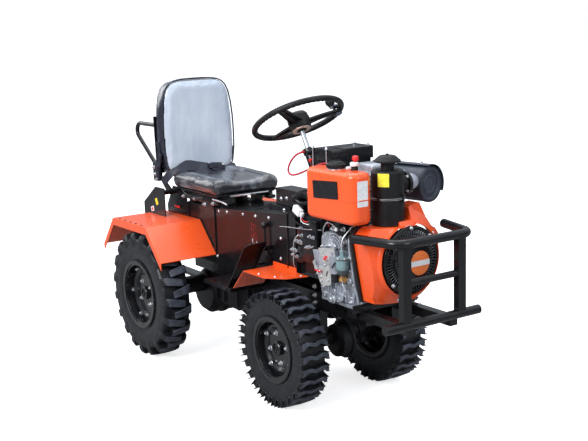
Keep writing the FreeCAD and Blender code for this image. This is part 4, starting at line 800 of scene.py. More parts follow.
def lug(mesh, tyre, angle, stations):
    """Bar across the tread; stations are (half-width place, top radius, base radius, half top, half base, shift)."""
    rows = []
    for x, top, base, wide, foot, shift in stations:
        edge = min(0.002, (top - base) * 0.3)
        section = [(-foot, base), (-wide, top - edge), (-wide + edge, top), (wide - edge, top), (wide, top - edge),
                   (foot, base)]
        rows.append([mesh.verts.new(tyre.put(x, r, angle + (shift + along) / tyre.radius)) for along, r in section])
    for a, b in zip(rows, rows[1:]):
        for i in range(len(a) - 1):
            mesh.faces.new((a[i], a[i + 1], b[i + 1], b[i])).tag = True
    mesh.faces.new(rows[0][::-1]).tag = True
    mesh.faces.new(rows[-1]).tag = True


def fin(mesh, tyre, angle, side, reach, spread):
    """Thin rib that stands out from the end of a lug and runs down the shoulder."""
    half, top, foot = tyre.half, tyre.radius, tyre.foot
    line = [(half - 0.012, top - 0.004, 0.0), (half + reach, top - 0.003, 0.1),
            (half + reach * 0.45, foot + 0.010, 0.5),
            (half, foot - 0.012, 1.0), (half - 0.006, foot - 0.008, 1.0)]
    rows = []
    for along in (-0.0013, 0.0013):
        rows.append([mesh.verts.new(tyre.put(side * x, r, angle + (along + spread * share) / tyre.radius)) for x, r,
                     share in line])
    for i in range(len(line)):
        j = (i + 1) % len(line)
        mesh.faces.new((rows[0][i], rows[0][j], rows[1][j], rows[1][i])).tag = True
    mesh.faces.new(rows[0][::-1]).tag = True
    mesh.faces.new(rows[1]).tag = True


def eased(value, low, high):
    """0 to 1 over a range, with a soft start and end."""
    t = min(1.0, max(0.0, (value - low) / (high - low)))
    return t * t * (3 - 2 * t)


def front_lugs(mesh, tyre, count=28):
    """Full-width gull-wing bars that flare at the shoulders and end in twin fins."""
    pitch = 2 * math.pi * tyre.radius / count
    for k in range(count):
        angle = 2 * math.pi * (k + 0.25) / count
        stations = []
        for i in range(-8, 9):
            t = i / 8
            bow = 0.0075 * math.sin(math.pi * abs(t)) ** 2 - 0.004 * eased(abs(t), 0.75, 1)
            wide = pitch * (0.15 + 0.085 * eased(abs(t), 0.45, 1))
            stations.append((t * tyre.half, tyre.radius - 0.003 * t * t, tyre.foot - 0.006 - 0.004 * abs(t),
                             wide, wide + 0.0035, bow * 1.1))
        lug(mesh, tyre, angle, stations)
        for side in (-1, 1):
            outer = side * tyre.centre.x > 0
            for turn in (-1, 1):
                fin(mesh, tyre, angle + turn * (pitch * 0.225) / tyre.radius, side, 0.014 if outer else 0.005,
                    turn * 0.006)


def rear_lugs(mesh, tyre, count=19):
    """Deep chunky half-bars, slanted, interlocking past the middle and sloping down over the shoulder."""
    for side in (-1, 1):
        for k in range(count):
            stations = []
            for x, drop, base, wide in ((-0.030, 0.004, 0.0, 0.0155), (-0.024, 0.001, 0.0, 0.0175),
                                        (0.0, 0.0, 0.0, 0.0185),
                                        (0.030, 0.001, 0.0, 0.019), (0.056, 0.003, 0.002, 0.020),
                                        (0.0625, 0.007, 0.004, 0.0195),
                                        (tyre.half - 0.001, 0.026, 0.018, 0.0185),
                                        (tyre.half + 0.001, 0.040, 0.034, 0.017)):
                stations.append((side * x, tyre.radius - drop, tyre.foot - 0.004 - base, wide, wide + 0.004,
                                 0.013 * (x / 0.06 - 0.5)))
            lug(mesh, tyre, 2 * math.pi * (k + 0.35 + 0.5 * (side > 0)) / count, stations)
        for k in range(count * 6):
            angle = 2 * math.pi * k / (count * 6)
            a, b = tyre.line[2], tyre.line[3]
            rows = []
            for along in (-0.0018, 0.0018):
                rows.append([mesh.verts.new(tyre.put(side * x, r, angle + along / tyre.radius)) for x, r in
                             ((a.x - 0.004, a.y + 0.0022), (b.x, b.y + 0.0025), (b.x + 0.0024, b.y - 0.022),
                              (b.x - 0.002, b.y - 0.024),
                              (a.x - 0.004, a.y - 0.002))])
            for i in range(5):
                mesh.faces.new((rows[0][i], rows[0][(i + 1) % 5], rows[1][(i + 1) % 5], rows[1][i])).tag = True


def tyres():
    """Lugged tyres in place of the plain ones."""
    for end, lugs, depth, square in (("front", front_lugs, 0.027, 0.93), ("rear", rear_lugs, 0.034, 0.86)):
        for side in ("right", "left"):
            node = f"{end}_tyre_{side}"
            tyre = Tyre(node, depth, square)
            mesh = bmesh.new()
            casing(mesh, tyre)
            lugs(mesh, tyre)
            obj = piece(f"{node}_tread", mesh, frame["nodes"][node].data.materials[0], f"{end}_wheel_{side}",
                        slot="tyre_rubber")
            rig.replaces(obj, node)


def rim_lips():
    """Rolled flange edge and the step where barrel and disc meet, and on the front wheels a pale ring on the tyre's
    shoulder as a painted highlight.
    """
    for end, lip, step, depth in (("front", 0.150, 0.1225, 0.0195), ("rear", 0.176, 0.1475, 0.0215)):
        for side, sign in (("right", -1), ("left", 1)):
            body = f"{end}_wheel_{side}"
            low, high = box(f"{end}_rim_{side}")
            axle = Vector(JOINTS[f"{body}_spin"]["pos_m"])
            edge = (high.x - low.x) / 2
            flat = (high.z - low.z) / 2
            mesh = bmesh.new()
            for way in (-X, X):
                spin(mesh, [(flat - 0.010, edge - 0.004), (flat - 0.009, edge + 0.0015), (lip - 0.006, edge + 0.004),
                            (lip - 0.001, edge + 0.002), (lip, edge - 0.002), (lip - 0.004, edge - 0.004),
                            (flat - 0.010, edge - 0.004)],
                     aim(axle, way), 96)
            ring(mesh, aim(axle + X * sign * depth, X * sign), step, 0.0035, 80, 8)
            piece(f"{body}_lip", mesh, "wheel_black", body)
            if end == "front":
                # pale grey ring round the front tyre's shoulder: a painted highlight along the sidewall's outer edge
                line = bmesh.new()
                low, high = box(f"front_tyre_{side}")
                ring(line, aim(axle + X * sign * ((high.x - low.x) / 2 * 0.975), X * sign), 0.2225, 0.0009, 120, 6)
                piece(f"{body}_shoulder_highlight_ring", line, "worn_rubber", body)


# Seat

PAD_VOXEL = 0.0055
PAD_FRAMES = 20


def padded_pad(mesh, node, name, finish, cap, pressure, fill):
    """Blown-up pad from a drawn closed mesh, in place of a node's solid."""
    data = bpy.data.meshes.new(name)
    mesh.to_mesh(data)
    mesh.free()
    obj = bpy.data.objects.new(name, data)
    bpy.context.scene.collection.objects.link(obj)
    remesh = obj.modifiers.new("remesh", "REMESH")
    remesh.mode = "VOXEL"
    remesh.voxel_size = PAD_VOXEL
    smooth = obj.modifiers.new("smooth", "SMOOTH")
    smooth.iterations = 4
    settle(obj)
    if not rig.quick():
        start = [vert.co.copy() for vert in obj.data.vertices]
        cloth = obj.modifiers.new("cloth", "CLOTH")
        cloth.settings.use_pressure = True
        cloth.settings.uniform_pressure_force = pressure
        cloth.settings.effector_weights.gravity = 0
        cloth.point_cache.frame_end = PAD_FRAMES
        for count in range(1, PAD_FRAMES + 1):
            bpy.context.scene.frame_set(count)
        settle(obj)
        bpy.context.scene.frame_set(1)
        for vert, rest in zip(obj.data.vertices, start):
            move = vert.co - rest
            if move.length > cap:
                vert.co = rest + move * (cap / move.length)
        smooth = obj.modifiers.new("smooth", "SMOOTH")
        smooth.iterations = 3
        settle(obj)
    obj.data.materials.clear()
    obj.data.materials.append(material(finish))
    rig.ride(obj, "chassis")
    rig.replaces(obj, node)
    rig.padded(obj, fill=fill)
    return obj


def settle(obj):
    """Make an object's modifiers part of its mesh."""
    graph = bpy.context.evaluated_depsgraph_get()
    data = bpy.data.meshes.new_from_object(obj.evaluated_get(graph))
    obj.modifiers.clear()
    old = obj.data
    obj.data = data
    bpy.data.meshes.remove(old)


def shape(obj, move):
    """Push each vertex by move(place, normal), then round the mesh with one subdivision."""
    mesh = obj.data
    pushes = [move(vert.co, vert.normal) for vert in mesh.vertices]
    for vert, push in zip(mesh.vertices, pushes):
        vert.co += push
    round_off = obj.modifiers.new("round", "SUBSURF")
    round_off.levels = 1
    round_off.render_levels = 1
    mesh.shade_smooth()


def ridge(value, width):
    """Soft bump of height 1 round zero."""
    return math.exp(-(value / width) ** 2)


def curve_at(table, value):
    """Smoothly read a rising (value, result) table."""
    for (v0, r0), (v1, r1) in zip(table, table[1:]):
        if value <= v1:
            t = eased(value, v0, v1)
            return r0 + (r1 - r0) * t
    return table[-1][1]


def lofted(mesh, rings):
    """Closed skin through rings of points, capped at both ends."""
    rows = [[mesh.verts.new(p) for p in points] for points in rings]
    skin(mesh, rows)
    bmesh.ops.recalc_face_normals(mesh, faces=mesh.faces)


CUSHION_BOLSTER = ((0.0, -0.016), (0.45, -0.013), (0.74, 0.0), (0.88, -0.001), (1.0, -0.012))
CUSHION_LENGTH = ((0.0, -0.014), (0.09, -0.002), (0.3, 0.0), (0.7, 0.004), (0.9, 0.002), (1.0, -0.006))


def cushion():
    """Seat cushion with raised bolsters, a rolled front and a seam round its side."""
    low, high = box("seat_cushion")
    half = (high.x - low.x) / 2 - 0.004
    height = high.z - low.z
    rings = []
    count = 44
    for k in range(count + 1):
        u = k / count
        y = low.y + 0.004 + (high.y - low.y - 0.008) * u
        corner = min(1.0, u / 0.10)
        tail = min(1.0, (1 - u) / 0.06)
        width = half * (1 - 0.13 * (1 - math.sqrt(max(0.0, 1 - (1 - corner) ** 2))) - 0.05 * (1 - tail) ** 2)
        squeeze = 0.55 + 0.45 * math.sqrt(max(0.0, 1 - (1 - min(1.0, u / 0.05)) ** 2))
        points = []
        for i in range(-20, 21):
            v = i / 20
            top = high.z + curve_at(CUSHION_BOLSTER, abs(v)) + curve_at(CUSHION_LENGTH, u)
            mid = low.z + height * 0.5
            points.append((v * width, y, mid + (top - mid) * squeeze))
        for i in range(4):
            t = (i + 1) / 5
            swell = 0.006 * math.sin(math.pi * t)
            points.append((width + swell, y, high.z - 0.018 - t * (height - 0.028)))
        for i in range(20, -21, -1):
            v = i / 20
            points.append((v * (width - 0.008), y, low.z + 0.002 + (1 - squeeze) * 0.03))
        for i in range(4):
            t = 1 - (i + 1) / 5
            swell = 0.006 * math.sin(math.pi * t)
            points.append((-width - swell, y, high.z - 0.018 - t * (height - 0.028)))
        rings.append(points)
    mesh = bmesh.new()
    lofted(mesh, rings)
    obj = padded_pad(mesh, "seat_cushion", "cushion_pad", "seat_vinyl", 0.004, 2.0, 0.85)

    def move(p, n):
        top = max(0.0, n.z)
        seam = ridge(abs(p.x) - half * 0.60, 0.0045) * top * (p.y > low.y + 0.05)
        welt = ridge(p.z - (low.z + height * 0.34), 0.0040) * (1 - abs(n.z))
        soft = noise.fractal(Vector((p.x * 7, p.y * 7, p.z * 7)), 1.0, 2.0, 3)
        fan = math.sin(math.atan2(p.z - low.z,
                                  p.y - low.y - 0.10) * 26 + 5 * noise.noise(Vector((p.x * 6, p.y * 6, 2))))
        fan *= max(0.0, 1 - (p - Vector((-0.17, low.y + 0.05, low.z + 0.04))).length / 0.11)
        tuck = max(0.0, 1 - abs(noise.noise(Vector((p.x * 16 + 5, p.y * 5, p.z * 18)))) * 7) * (1 - 0.7 * top)
        return n * (-0.0045 * seam - 0.0026 * welt + 0.0006 * soft + 0.0011 * fan + 0.0005 * tuck)

    shape(obj, move)


BACK_HALF = ((0.0, 0.160), (0.02, 0.182), (0.05, 0.197), (0.12, 0.208), (0.20, 0.211), (0.29, 0.209), (0.36, 0.203),
             (0.42, 0.191),
             (0.455, 0.175), (0.475, 0.155), (0.487, 0.130), (0.494, 0.090), (0.496, 0.040))
BACK_LAYERS = ((0.106, 0.020), (0.107, 0.008), (0.104, 0.002), (0.095, 0.0), (0.030, 0.0), (0.014, 0.002),
               (0.006, 0.009),
               (0.003, 0.022), (0.002, 0.050), (0.003, 0.090), (0.004, 0.140))
BACK_LEAN = math.radians(2)
BACK_RIM = 0.013


def back_place(x, depth, height):
    """Point of the backrest, from its own width, depth and height."""
    low, _ = box("seat_backrest")
    return Vector((x, low.y + depth * math.cos(BACK_LEAN) + height * math.sin(BACK_LEAN),
                   low.z + height * math.cos(BACK_LEAN) - depth * math.sin(BACK_LEAN) + 0.004))


def back_depth(p):
    """How far behind the backrest's front plane a point is."""
    low, _ = box("seat_backrest")
    return (p.y - low.y) * math.cos(BACK_LEAN) - (p.z - low.z) * math.sin(BACK_LEAN)


def back_outline(inset, depth):
    """Ring of points round the backrest, pulled in by an inset."""
    fine = []
    for (h0, w0), (h1, w1) in zip(BACK_HALF, BACK_HALF[1:]):
        count = max(1, round((h1 - h0) / 0.02))
        fine += [(h0 + (h1 - h0) * i / count, w0 + (w1 - w0) * i / count) for i in range(count)]
    fine.append(BACK_HALF[-1])
    points = [(half, height) for height, half in fine] + [(-half, height) for height, half in reversed(fine)]
    centre = 0.26
    out = []
    for x, h in points:
        reach = math.hypot(x, h - centre)
        part = max(0.05, 1 - inset / reach)
        out.append(back_place(x * part, depth, centre + (h - centre) * part))
    return out


def backrest():
    """Backrest with a pale crowned front and dark sides, and the welt between them."""
    mesh = bmesh.new()
    lofted(mesh, [back_outline(inset, depth) for depth, inset in BACK_LAYERS])
    obj = padded_pad(mesh, "seat_backrest", "backrest_pad", "seat_cloth", 0.005, 2.0, 0.85)

    def move(p, n):
        drape = noise.fractal(Vector((p.x * 9, p.y * 6, p.z * 3)), 1.0, 2.1, 3)
        edge = max(0.0, 1 - abs(n.y)) ** 2
        fold = max(0.0, 1 - abs(noise.noise(Vector((p.x * 7, p.y * 23, p.z * 5 + 3)))) * 6)
        return n * (0.0010 * drape + 0.0024 * fold * edge)

    shape(obj, move)
    obj.data.materials.append(material("back_vinyl"))
    for face in obj.data.polygons:
        if back_depth(face.center) > BACK_RIM:
            face.material_index = 1
    mesh = bmesh.new()
    path = back_outline(-0.002, BACK_RIM + 0.001)
    path.append(path[0])
    tube(mesh, path, 0.0042, 8)
    piece("backrest_welt", mesh, "back_vinyl", slot="seat_vinyl")


def back_vinyl():
    """Dark blue-black vinyl of the backrest's sides, glossy under its film, with its creases tinted pale blue-grey as
    painted highlights.
    """
    s = Surface("back_vinyl", (0.018, 0.020, 0.034), 0.3, coat=1.0, coat_rough=0.12)
    creases = s.noise(16, 4, 0.6, stretch=(1.0, 1.6, 0.35))
    # painted highlight: the crease ridges are tinted pale blue-grey for the film's shine
    film = s.between(creases, 0.56, 0.68)
    s.link(s.tint(s.times(film, 0.30), (0.018, 0.020, 0.034), (0.40, 0.44, 0.55)), "Base Color")
    s.link(s.between(s.noise(30, 4), 0.3, 0.7, 0.2, 0.42), "Roughness")
    s.bump(creases, 0.006, 0.6)
    s.bump(s.cells(420), 0.0003, 0.4)
    return s.material


# Small parts shared by several regions

def tube(mesh, points, radius, sides=10):
    """Round bar along straight runs, mitred at the corners."""
    points = [Vector(p) for p in points]
    rows = []
    side = None
    for i, point in enumerate(points):
        before = (point - points[i - 1]).normalized() if i else (points[1] - point).normalized()
        after = (points[i + 1] - point).normalized() if i + 1 < len(points) else before
        way = (before + after).normalized()
        if side is None:
            side = way.orthogonal().normalized()
        side = (side - way * side.dot(way)).normalized()
        up = way.cross(side)
        wide = radius / max(0.5, way.dot(before))
        rows.append([mesh.verts.new(point + side * wide * math.cos(2 * math.pi * k / sides)
                                    + up * wide * math.sin(2 * math.pi * k / sides)) for k in range(sides)])
    skin(mesh, rows)


def smooth_path(points, steps=8):
    """Points along a Catmull-Rom curve through the given ones."""
    points = [Vector(p) for p in points]
    ends = [2 * points[0] - points[1]] + points + [2 * points[-1] - points[-2]]
    found = []
    for a, b, c, d in zip(ends, ends[1:], ends[2:], ends[3:]):
        for i in range(steps):
            t = i / steps
            found.append(0.5 * (2 * b + (c - a) * t + (2 * a - 5 * b + 4 * c - d) * t * t
                                + (3 * b - a - 3 * c + d) * t ** 3))
    return found + [points[-1]]


def ring(mesh, place, radius, thick, sides=48, around=8):
    """Round-section ring about +Z of the place."""
    profile = [(radius + thick * math.cos(2 * math.pi * k / around), thick * math.sin(2 * math.pi * k / around))
               for k in range(around + 1)]
    spin(mesh, profile, place, sides)
    bmesh.ops.remove_doubles(mesh, verts=mesh.verts, dist=1e-6)


def hose(name, points, radius, finish, body="chassis"):
    """Smooth round line through the points, as a mesh."""
    mesh = bmesh.new()
    tube(mesh, smooth_path(points), radius)
    return piece(name, mesh, finish, body)


# Wheels

def wheel_fittings():
    """Wheel bolts, hub rings and valves."""
    for end, studs, outer in (("front", (0.067, (77, 167, 257, 347)), (0.095, (33, -57))),
                              ("rear", (0.066, (56, 146, 236, 326)), (0.133, (56, -4, -64, -124, 116, 176)))):
        for side, sign in (("right", -1), ("left", 1)):
            body = f"{end}_wheel_{side}"
            axle = Vector(JOINTS[f"{body}_spin"]["pos_m"])
            far = axle + X * sign * 0.3
            places = []
            for radius, angles in (studs, outer):
                for angle in angles:
                    turn = math.radians(angle)
                    at = far + (Y * math.cos(turn) + Z * math.sin(turn)) * radius
                    point, _ = hit(f"{end}_rim_{side}", at, -X * sign)
                    places.append((point, X * sign))
            bolts(f"{body}_bolts", places, "zinc", body, across=0.015, height=0.008)
            cap = bmesh.new()
            point, _ = hit(f"{end}_hub_{side}", far, -X * sign)
            place = aim(point - X * sign * 0.004, X * sign)
            spin(cap, [(0.031, -0.004), (0.032, 0.0), (0.032, 0.008), (0.029, 0.011), (0.024, 0.011), (0.022, 0.008),
                       (0.022, 0.0045), (0.0, 0.0045)], place, 32)
            piece(f"{body}_hub_ring", cap, "wheel_black", body)
            nut = bmesh.new()
            hex_head(nut, point, X * sign, across=0.022, height=0.004, washer=False)
            piece(f"{body}_hub_nut", nut, "dark_casting", body)
            stem = bmesh.new()
            turn = math.radians(35)
            low, high = box(f"{end}_rim_{side}")
            reach = (high.z - low.z) / 2 - 0.030
            at = axle + (Y * math.cos(turn) + Z * math.sin(turn)) * reach + X * sign * (abs(low.x - high.x) / 2 - 0.030)
            way = (X * sign - (Y * math.cos(turn) + Z * math.sin(turn)) * 0.35).normalized()
            spin(stem, [(0.005, -0.02), (0.005, 0.012), (0.0035, 0.014), (0.0035, 0.024), (0.0045, 0.025),
                        (0.0045, 0.034), (0.0, 0.035)], aim(at, way), 12)
            piece(f"{body}_valve", stem, "black_plastic", body)


# Fuel tank, air cleaner and silencer

def tank_fittings():
    """Tank's blank plates, valve, cap top and neck ring."""
    low, high = box("fuel_tank")
    mesh = bmesh.new()
    turn = Matrix.Rotation(math.radians(-4), 4, "X")
    face = moved((low.x + 0.002, -0.720, 0.993)) @ turn @ FACING_RIGHT
    plate(mesh, 0.168, 0.072, 0.0022, 0.003, face)
    piece("tank_plate", mesh, "gloss_trim")
    rim = bmesh.new()
    for sx, sy, w, h in ((0, 1, 0.160, 0.0016), (0, -1, 0.160, 0.0016), (1, 0, 0.0016, 0.064), (-1, 0, 0.0016, 0.064)):
        at = face @ moved((sx * 0.0792, sy * 0.0312, 0.0024))
        block(rim, (w, h, 0.0008), at, 0)
    piece("tank_plate_rim", rim, "dull_black")
    label = bmesh.new()
    front = moved((-0.199, low.y + 0.0022, 0.990)) @ FACING_FRONT
    plate(label, 0.052, 0.102, 0.0006, 0.003, front)
    piece("tank_label", label, "chalk", smooth=False)
    mesh = bmesh.new()
    valve = Vector((-0.164, -0.802, high.z - 0.006))
    spin(mesh, [(0.016, 0), (0.016, 0.012), (0.012, 0.016), (0.012, 0.022), (0, 0.022)], aim(valve, Z), 6)
    piece("tank_valve_nut", mesh, "dull_black")
    drawn("tank_valve_collar", "chalk", spin,
          [(0.017, 0.018), (0.018, 0.020), (0.018, 0.030), (0.013, 0.033), (0, 0.033)], aim(valve, Z), 20)
    drawn("tank_valve_knob", "signal_red", spin,
          [(0.008, 0.032), (0.008, 0.038), (0.013, 0.040), (0.014, 0.046), (0.012, 0.056), (0.006, 0.059), (0, 0.059)],
          aim(valve, Z + 0.12 * X), 20)
    drawn("tank_valve_spout", "chalk", block, (0.020, 0.012, 0.010), moved(valve + Vector((-0.026, 0.004, 0.012))),
          0.002)
    _, cap_high = box("tank_cap")
    mesh = bmesh.new()
    centre = middle("tank_cap")
    spin(mesh, [(0.026, -0.002), (0.026, 0.003), (0.023, 0.0045), (0, 0.0045)],
         aim(Vector((centre.x, centre.y, cap_high.z - 0.002)), Z), 28)
    block(mesh, (0.044, 0.008, 0.006), moved((centre.x, centre.y, cap_high.z + 0.0035)), 0.002)
    piece("tank_cap_top", mesh, "black_plastic")
    drawn("tank_neck_ring", "zinc", spin, [(0.034, 0), (0.036, 0.001), (0.036, 0.005), (0.030, 0.007)],
          aim(Vector((centre.x, centre.y, high.z - 0.0065)), Z), 32)


def cleaner_fittings():
    """Air cleaner's seam, clips, blank label, flange bolts and cap."""
    low, high = box("air_cleaner")
    centre = Vector((-0.035, -0.850, 0))
    mesh = bmesh.new()
    for z in (low.z + 0.107, low.z + 0.1125):
        ring(mesh, moved(centre + Z * z), 0.0712, 0.0009, 64, 6)
    piece("cleaner_seam", mesh, "pale_steel")
    mesh = bmesh.new()
    for turn in (20, 200, 110, 290):
        way = Vector((math.cos(math.radians(turn)), math.sin(math.radians(turn)), 0))
        at = centre + way * 0.0725 + Z * (low.z + 0.110)
        place = moved(at) @ way.to_track_quat("X", "Z").to_matrix().to_4x4()
        block(mesh, (0.003, 0.012, 0.040), place, 0.001)
        block(mesh, (0.006, 0.016, 0.008), place @ moved((0.002, 0, 0.018)), 0.0015)
    piece("cleaner_clips", mesh, "gloss_trim")
    mesh = bmesh.new()
    start = math.radians(196)
    rows = []
    for i in range(9):
        turn = start + math.radians(40) * i / 8
        way = Vector((math.cos(turn), math.sin(turn), 0))
        rows.append([mesh.verts.new(centre + way * r + Z * z) for r,
                     z in ((0.0672, 1.004), (0.0680, 1.004), (0.0680, 1.058), (0.0672, 1.058))])
    skin(mesh, rows)
    piece("cleaner_label", mesh, "lemon", smooth=False)
    flange = Vector((0.067, -0.842, 1.000))
    places = []
    for k in range(4):
        turn = math.radians(45 + 90 * k)
        at = flange + (Y * math.cos(turn) + Z * math.sin(turn)) * 0.041
        places.append((at, X))
        places.append((at - X * 0.014, -X))
    bolts("cleaner_flange_bolts", places, "zinc", across=0.010, height=0.005)
    top = aim(centre + Z * (high.z - 0.001), Z)
    drawn("cleaner_cap_nut", "gloss_trim", spin,
          [(0.010, 0), (0.010, 0.002), (0.006, 0.004), (0.006, 0.008), (0, 0.008)], top, 6)
    drawn("cleaner_cap_bead", "gloss_trim", spin,
          [(0.0525, -0.0255), (0.0555, -0.0245), (0.0560, -0.0225), (0.0545, -0.0205), (0.0525, -0.0205)], top, 48)


def silencer_fittings():
    """Silencer's seams and bolts."""
    way = Vector((-math.sin(math.radians(12)), math.cos(math.radians(12)), 0))
    face = Vector((0.240, -0.800, 0.968))
    mesh = bmesh.new()
    front = aim(face, -way)
    for radius, up in ((0.0735, 0.001), (0.067, 0.0), (0.050, -0.0062)):
        ring(mesh, front @ moved((0, 0, up)), radius, 0.0016, 64, 6)
    for along in (0.004, 0.012, 0.222, 0.230):
        ring(mesh, aim(face + way * along, way), 0.0755, 0.0013, 64, 6)
    piece("silencer_seams", mesh, "heat_black")
    places = []
    for along in (0.040, 0.175):
        for turn in (5, 95):
            angle = math.radians(turn)
            side = way.cross(Z).normalized()
            out = side * math.sin(angle - math.radians(10)) + Z * math.cos(angle - math.radians(10))
            start = face + way * along + out * 0.2
            point, _ = hit("muffler", start, -out)
            if point:
                places.append((point, out))
    bolts("silencer_bolts", places, "zinc", across=0.010, height=0.006)


# Fan housing

def shroud_fittings():
    """Rolled trim, bolts and blank plate of the fan's housing."""
    mesh = bmesh.new()
    path = [(-0.128, 0.530), (-0.150, 0.533), (-0.163, 0.596), (-0.174, 0.660), (-0.1855, 0.7335), (-0.1985, 0.8075),
            (-0.176, 0.835), (-0.148, 0.851), (-0.11, 0.852)]
    rows = []
    for i, (x, z) in enumerate(path):
        a = Vector(path[max(i - 1, 0)])
        b = Vector(path[min(i + 1, len(path) - 1)])
        way = (b - a).normalized()
        out = Vector((-way.y, way.x))
        row = []
        for off, y in ((-0.010, -0.8195), (0.004, -0.8215), (0.006, -0.8190), (0.006, -0.8060), (0.004, -0.8040),
                       (-0.010, -0.8040)):
            row.append(mesh.verts.new((x + out.x * off, y, z + out.y * off)))
        rows.append(row)
    skin(mesh, rows)
    piece("shroud_trim", mesh, "black_plastic")
    places = []
    for x, z in ((-0.155, 0.567), (-0.168, 0.800), (0.150, 0.790), (0.085, 0.548), (-0.040, 0.540)):
        point, normal = hit("fan_shroud", (x, -1.0, z), Y)
        if point:
            places.append((point, normal if normal.y < 0 else -normal))
    bolts("shroud_bolts", places, "zinc", head=dome_head, radius=0.0062)
    mesh = bmesh.new()
    point, normal = hit("fan_shroud", (0.036, -1.0, 0.864), Y)
    if point:
        out = normal if normal.y < 0 else -normal
        place = moved(point + out * 0.0005) @ out.to_track_quat("Z", "Y").to_matrix().to_4x4()
        plate(mesh, 0.066, 0.022, 0.0012, 0.004, place)
        piece("duct_plate", mesh, "gloss_trim")
    else:
        mesh.free()


def duct_hood():
    """Left part of the cooling duct, down to the cleaner's foot, faced like the cone beside it."""
    def face(x, z):
        out = math.hypot(x, z - 0.704)
        return min(-0.8885, -0.904 - (0.187 - out) * 22 / 34)
    mesh = bmesh.new()
    columns = []
    for i in range(13):
        x = -0.036 + 0.098 * i / 12
        top = 0.8608 if x < 0.037 else 0.905 + 0.0095 * min(1, (x - 0.037) / 0.014)
        column = [mesh.verts.new((x, -0.8206, 0.8435))]
        for j in range(9):
            z = 0.8435 + (top - 0.8435) * j / 8
            column.append(mesh.verts.new((x, face(x, z), z)))
        column.append(mesh.verts.new((x, -0.8206, top)))
        columns.append(column)
    skin(mesh, columns)
    piece("duct_hood", mesh, "orange_paint", smooth=False)


def fan_fittings():
    """Louvres, rings, bolts, blank badge and starter grip."""
    centre = Vector((0, -0.948, 0.704))
    front = aim(centre, -Y)
    # radial louvres in a grey lighter than the cover's black, as a painted highlight on the ribs
    mesh = bmesh.new()
    for k in range(60):
        turn = 2 * math.pi * k / 60
        place = front @ Matrix.Rotation(turn, 4, "Z") @ moved((0.1105, 0, 0.0035)) @ Matrix.Rotation(0.5, 4, "X")
        block(mesh, (0.031, 0.0016, 0.007), place, 0.0004, 1)
    piece("fan_louvres", mesh, "pale_louvre")
    mesh = bmesh.new()
    for radius, up, thick in ((0.1385, 0.001, 0.002), (0.1265, 0.005, 0.0018), (0.0945, 0.008, 0.0018),
                              (0.083, 0.0165, 0.0015)):
        ring(mesh, front @ moved((0, 0, up)), radius, thick, 72, 6)
    piece("fan_rings", mesh, "gloss_trim")
    places = [(centre + Vector((0.1315 * math.cos(math.radians(a)), -0.0045, 0.1315 * math.sin(math.radians(a)))), -Y)
              for a in (-137, -40, 42, 138, 90)]
    bolts("fan_cover_bolts", places, "zinc", across=0.011, height=0.005)
    disc = moved((0.034, -0.9648, 0.690)) @ FACING_FRONT
    drawn("fan_badge", "badge_orange", spin,
          [(0, 0), (0.049, 0), (0.050, 0.0006), (0.050, 0.0012), (0.049, 0.0018), (0, 0.0018)], disc, 64)
    drawn("fan_badge_band", "chalk", plate, 0.0975, 0.022, 0.0006, 0.001, disc @ moved((0, 0, 0.0019)), smooth=False)
    grip = Vector((-0.098, -0.980, 0.752))
    mesh = bmesh.new()
    spin(mesh, [(0.018, -0.006), (0.021, 0.0), (0.019, 0.006), (0.010, 0.009), (0, 0.009)], aim(grip, -Y), 24)
    for k in range(9):
        block(mesh, (0.004, 0.012, 0.022), moved(grip + Vector((-0.026 + 0.0066 * k, -0.004, -0.012 + 0.004 * k))),
              0.0015)
    piece("starter_grip", mesh, "black_plastic")


# Engine side

def slab(mesh, outline, x, thick):
    """Flat sheet in the plane of that x, with the outline in (y, z), standing towards -X."""
    rows = [[mesh.verts.new((at, y, z)) for y, z in outline] for at in (x, x - thick)]
    n = len(outline)
    mesh.faces.new(rows[0])
    mesh.faces.new(rows[1][::-1])
    for i in range(n):
        j = (i + 1) % n
        mesh.faces.new((rows[0][i], rows[1][i], rows[1][j], rows[0][j]))


